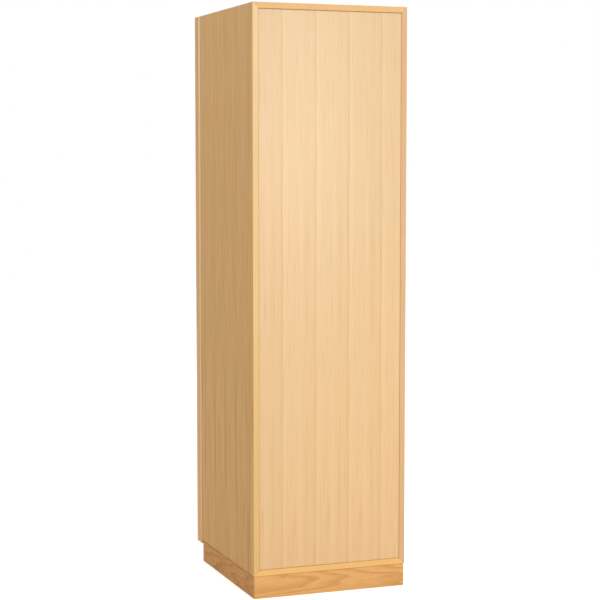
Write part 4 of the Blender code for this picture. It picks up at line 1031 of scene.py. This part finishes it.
# %% Shelf pins and bumpers
PEG, GROOVE, PEG_SHANK, PEG_END = 0.0040, 0.0033, 0.0025, 0.0019
peg = turned("peg_model", [(PEG, 0.0), (PEG, -0.0076), (GROOVE, -0.0080), (GROOVE, -0.0086), (PEG, -0.0090),
                           (PEG, -0.0097), (PEG_SHANK, -0.0097), (PEG_SHANK, -0.0192), (PEG_END, -0.0197)], 0.0009)
for side, outward in (("left", OUT_LEFT), ("right", OUT_RIGHT)):
    for end in ("front", "back"):
        seat(peg, "shelf_pin_" + end + "_" + side, "shelf_peg_" + end + "_" + side, outward, "case")
DOT, DOT_HEIGHT, DOT_ROUND, DOT_STEPS = 0.0050, 0.0034, 0.0018, 6
dot = turned("dot_model", [(DOT, 0.0), (DOT, -DOT_HEIGHT)], DOT_ROUND, DOT_STEPS)
for level in ("lower", "upper"):
    seat(dot, "door_bumper_" + level, "door_soft_dot_" + level, INTO_CASE, "door", finish=rubber, slot="clear_rubber")

# %% [markdown]
# ## Clear the bench
# The punch and the models that were copied are tools, not parts of the wardrobe. Hiding them would leave them
# in the file, so they are removed; the copies have meshes of their own and stay.

# %% Clear the bench
for model in (punch, sunk, short, small, large, cup_head, plate_head, arm_head, peg, dot):
    bpy.data.objects.remove(model)

# %% [markdown]
# ## Floor
# The wardrobe stands on a pale floor that the picture shows as white. More light would whiten it, but would
# bleach the wood too. So the floor is a plain matt grey-white that takes the wardrobe's soft shadow, and Light
# Path adds a little glow to it only where the camera or a shiny surface looks at it.

# %% Floor
FLOOR_SIZE, FLOOR_GREY, FLOOR_GLOW = 24.0, 0.82, 0.62
bpy.ops.mesh.primitive_plane_add(size=FLOOR_SIZE, location=(0.0, 0.0, 0.0))
floor = bpy.context.object
floor.name = "studio_floor"
pale = bpy.data.materials.new("pale_floor")
pale.use_nodes = True
tree = pale.node_tree
tree.nodes.remove(tree.nodes["Principled BSDF"])
paths = add(tree, "LightPath").outputs
seen = add(tree, "Math", {"operation": "MAXIMUM"}, in0=paths["Is Camera Ray"], in1=paths["Is Glossy Ray"])
lift = add(tree, "Math", {"operation": "MULTIPLY"}, in0=seen.outputs[0], in1=FLOOR_GLOW)
matt = add(tree, "BsdfDiffuse", Color=(FLOOR_GREY, FLOOR_GREY, FLOOR_GREY, 1.0))
glow = add(tree, "Emission", Strength=lift.outputs[0])
sum_of = add(tree, "AddShader", in0=matt.outputs[0], in1=glow.outputs[0])
tree.links.new(sum_of.outputs[0], tree.nodes["Material Output"].inputs["Surface"])
floor.data.materials.append(pale)
print(floor.name, [round(size, 1) for size in floor.dimensions], "m")

# %% [markdown]
# ## Room light
# An even white room lights the wardrobe from all round, as a photographer's tent does. The white that is seen
# behind the wardrobe is brighter than the light that falls on it: Light Path tells the two kinds of ray apart,
# so the background is pure white and the wood still comes out about as dark as its colours were written.

# %% Room light
ROOM_LIGHT, WHITE = 0.665, linear("#FFFFFF")
world = bpy.data.worlds.new("white_room")
bpy.context.scene.world = world
world.use_nodes = True
tree = world.node_tree
paths = add(tree, "LightPath").outputs
seen = add(tree, "Math", {"operation": "MAXIMUM"}, in0=paths["Is Camera Ray"], in1=paths["Is Glossy Ray"])
also = add(tree, "Math", {"operation": "MAXIMUM"}, in0=seen.outputs[0], in1=paths["Is Transmission Ray"])
dim = tree.nodes["Background"]
dim.inputs["Color"].default_value = WHITE
dim.inputs["Strength"].default_value = ROOM_LIGHT
white = add(tree, "Background", Strength=1.0, Color=WHITE)
mix = add(tree, "MixShader", in0=also.outputs[0], in1=dim.outputs[0], in2=white.outputs[0])
tree.links.new(mix.outputs[0], tree.nodes["World Output"].inputs["Surface"])
print(world.name, "lights at", ROOM_LIGHT)

# %% [markdown]
# ## Softboxes
# Two large soft lamps, one behind the wardrobe and one before it, make the back and the front brighter than the
# sides, so its corners read clearly. A sun or a point lamp would draw hard shadows. A large lamp close by also
# falls off along the tall back, which is partly why that pales towards its head; the rest is painted light, a
# tint on the back's veneer that paints its head paler.

# %% Softboxes
BOX_WIDE, BOX_TALL, AIM = 3.0, 2.2, Vector((0.0, 0.0, 1.1))


def softbox(name, place, watts):
    """A rectangular soft light at a place, turned to the middle of the wardrobe."""
    bpy.ops.object.light_add(type="AREA", location=place)
    lamp = bpy.context.object
    lamp.name = name
    lamp.data.shape = "RECTANGLE"
    lamp.data.size, lamp.data.size_y = BOX_WIDE, BOX_TALL
    lamp.data.energy = watts
    lamp.rotation_euler = (AIM - lamp.location).to_track_quat("-Z", "Y").to_euler()
    print(name, watts, "W at", [round(part, 2) for part in lamp.location])


softbox("softbox_behind", (-0.6, 4.5, 2.4), 88.0)
softbox("softbox_before", (-1.6, -4.5, 2.2), 60.0)

# %% [markdown]
# ## Camera
# The camera stands about 5 m behind the wardrobe and off to one side, at chest height, and looks slightly down.
# From so far away a long lens is needed, and it keeps the uprights nearly parallel. The focal length was found
# in pixels of a frame 600 pixels wide, so it is turned into millimetres on a sensor 36 mm wide. Standard view
# keeps the colours as they were written.

# %% Camera
FOCAL_PIXELS, FRAME_PIXELS, SENSOR = 1655.3, 600, 36.0
CAMERA_AT, LOOK_DOWN, HEADING = (1.845, 4.979, 1.325), 4.737, -200.432
bpy.ops.object.camera_add(location=CAMERA_AT)
camera = bpy.context.object
camera.rotation_euler = Euler((math.radians(90.0 - LOOK_DOWN), 0.0, math.radians(HEADING)))
camera.data.sensor_width = SENSOR
camera.data.lens = SENSOR * FOCAL_PIXELS / FRAME_PIXELS
bpy.context.scene.camera = camera
bpy.context.scene.view_settings.view_transform = "Standard"
print("Lens", round(camera.data.lens, 1), "mm at", [round(part, 2) for part in camera.location])
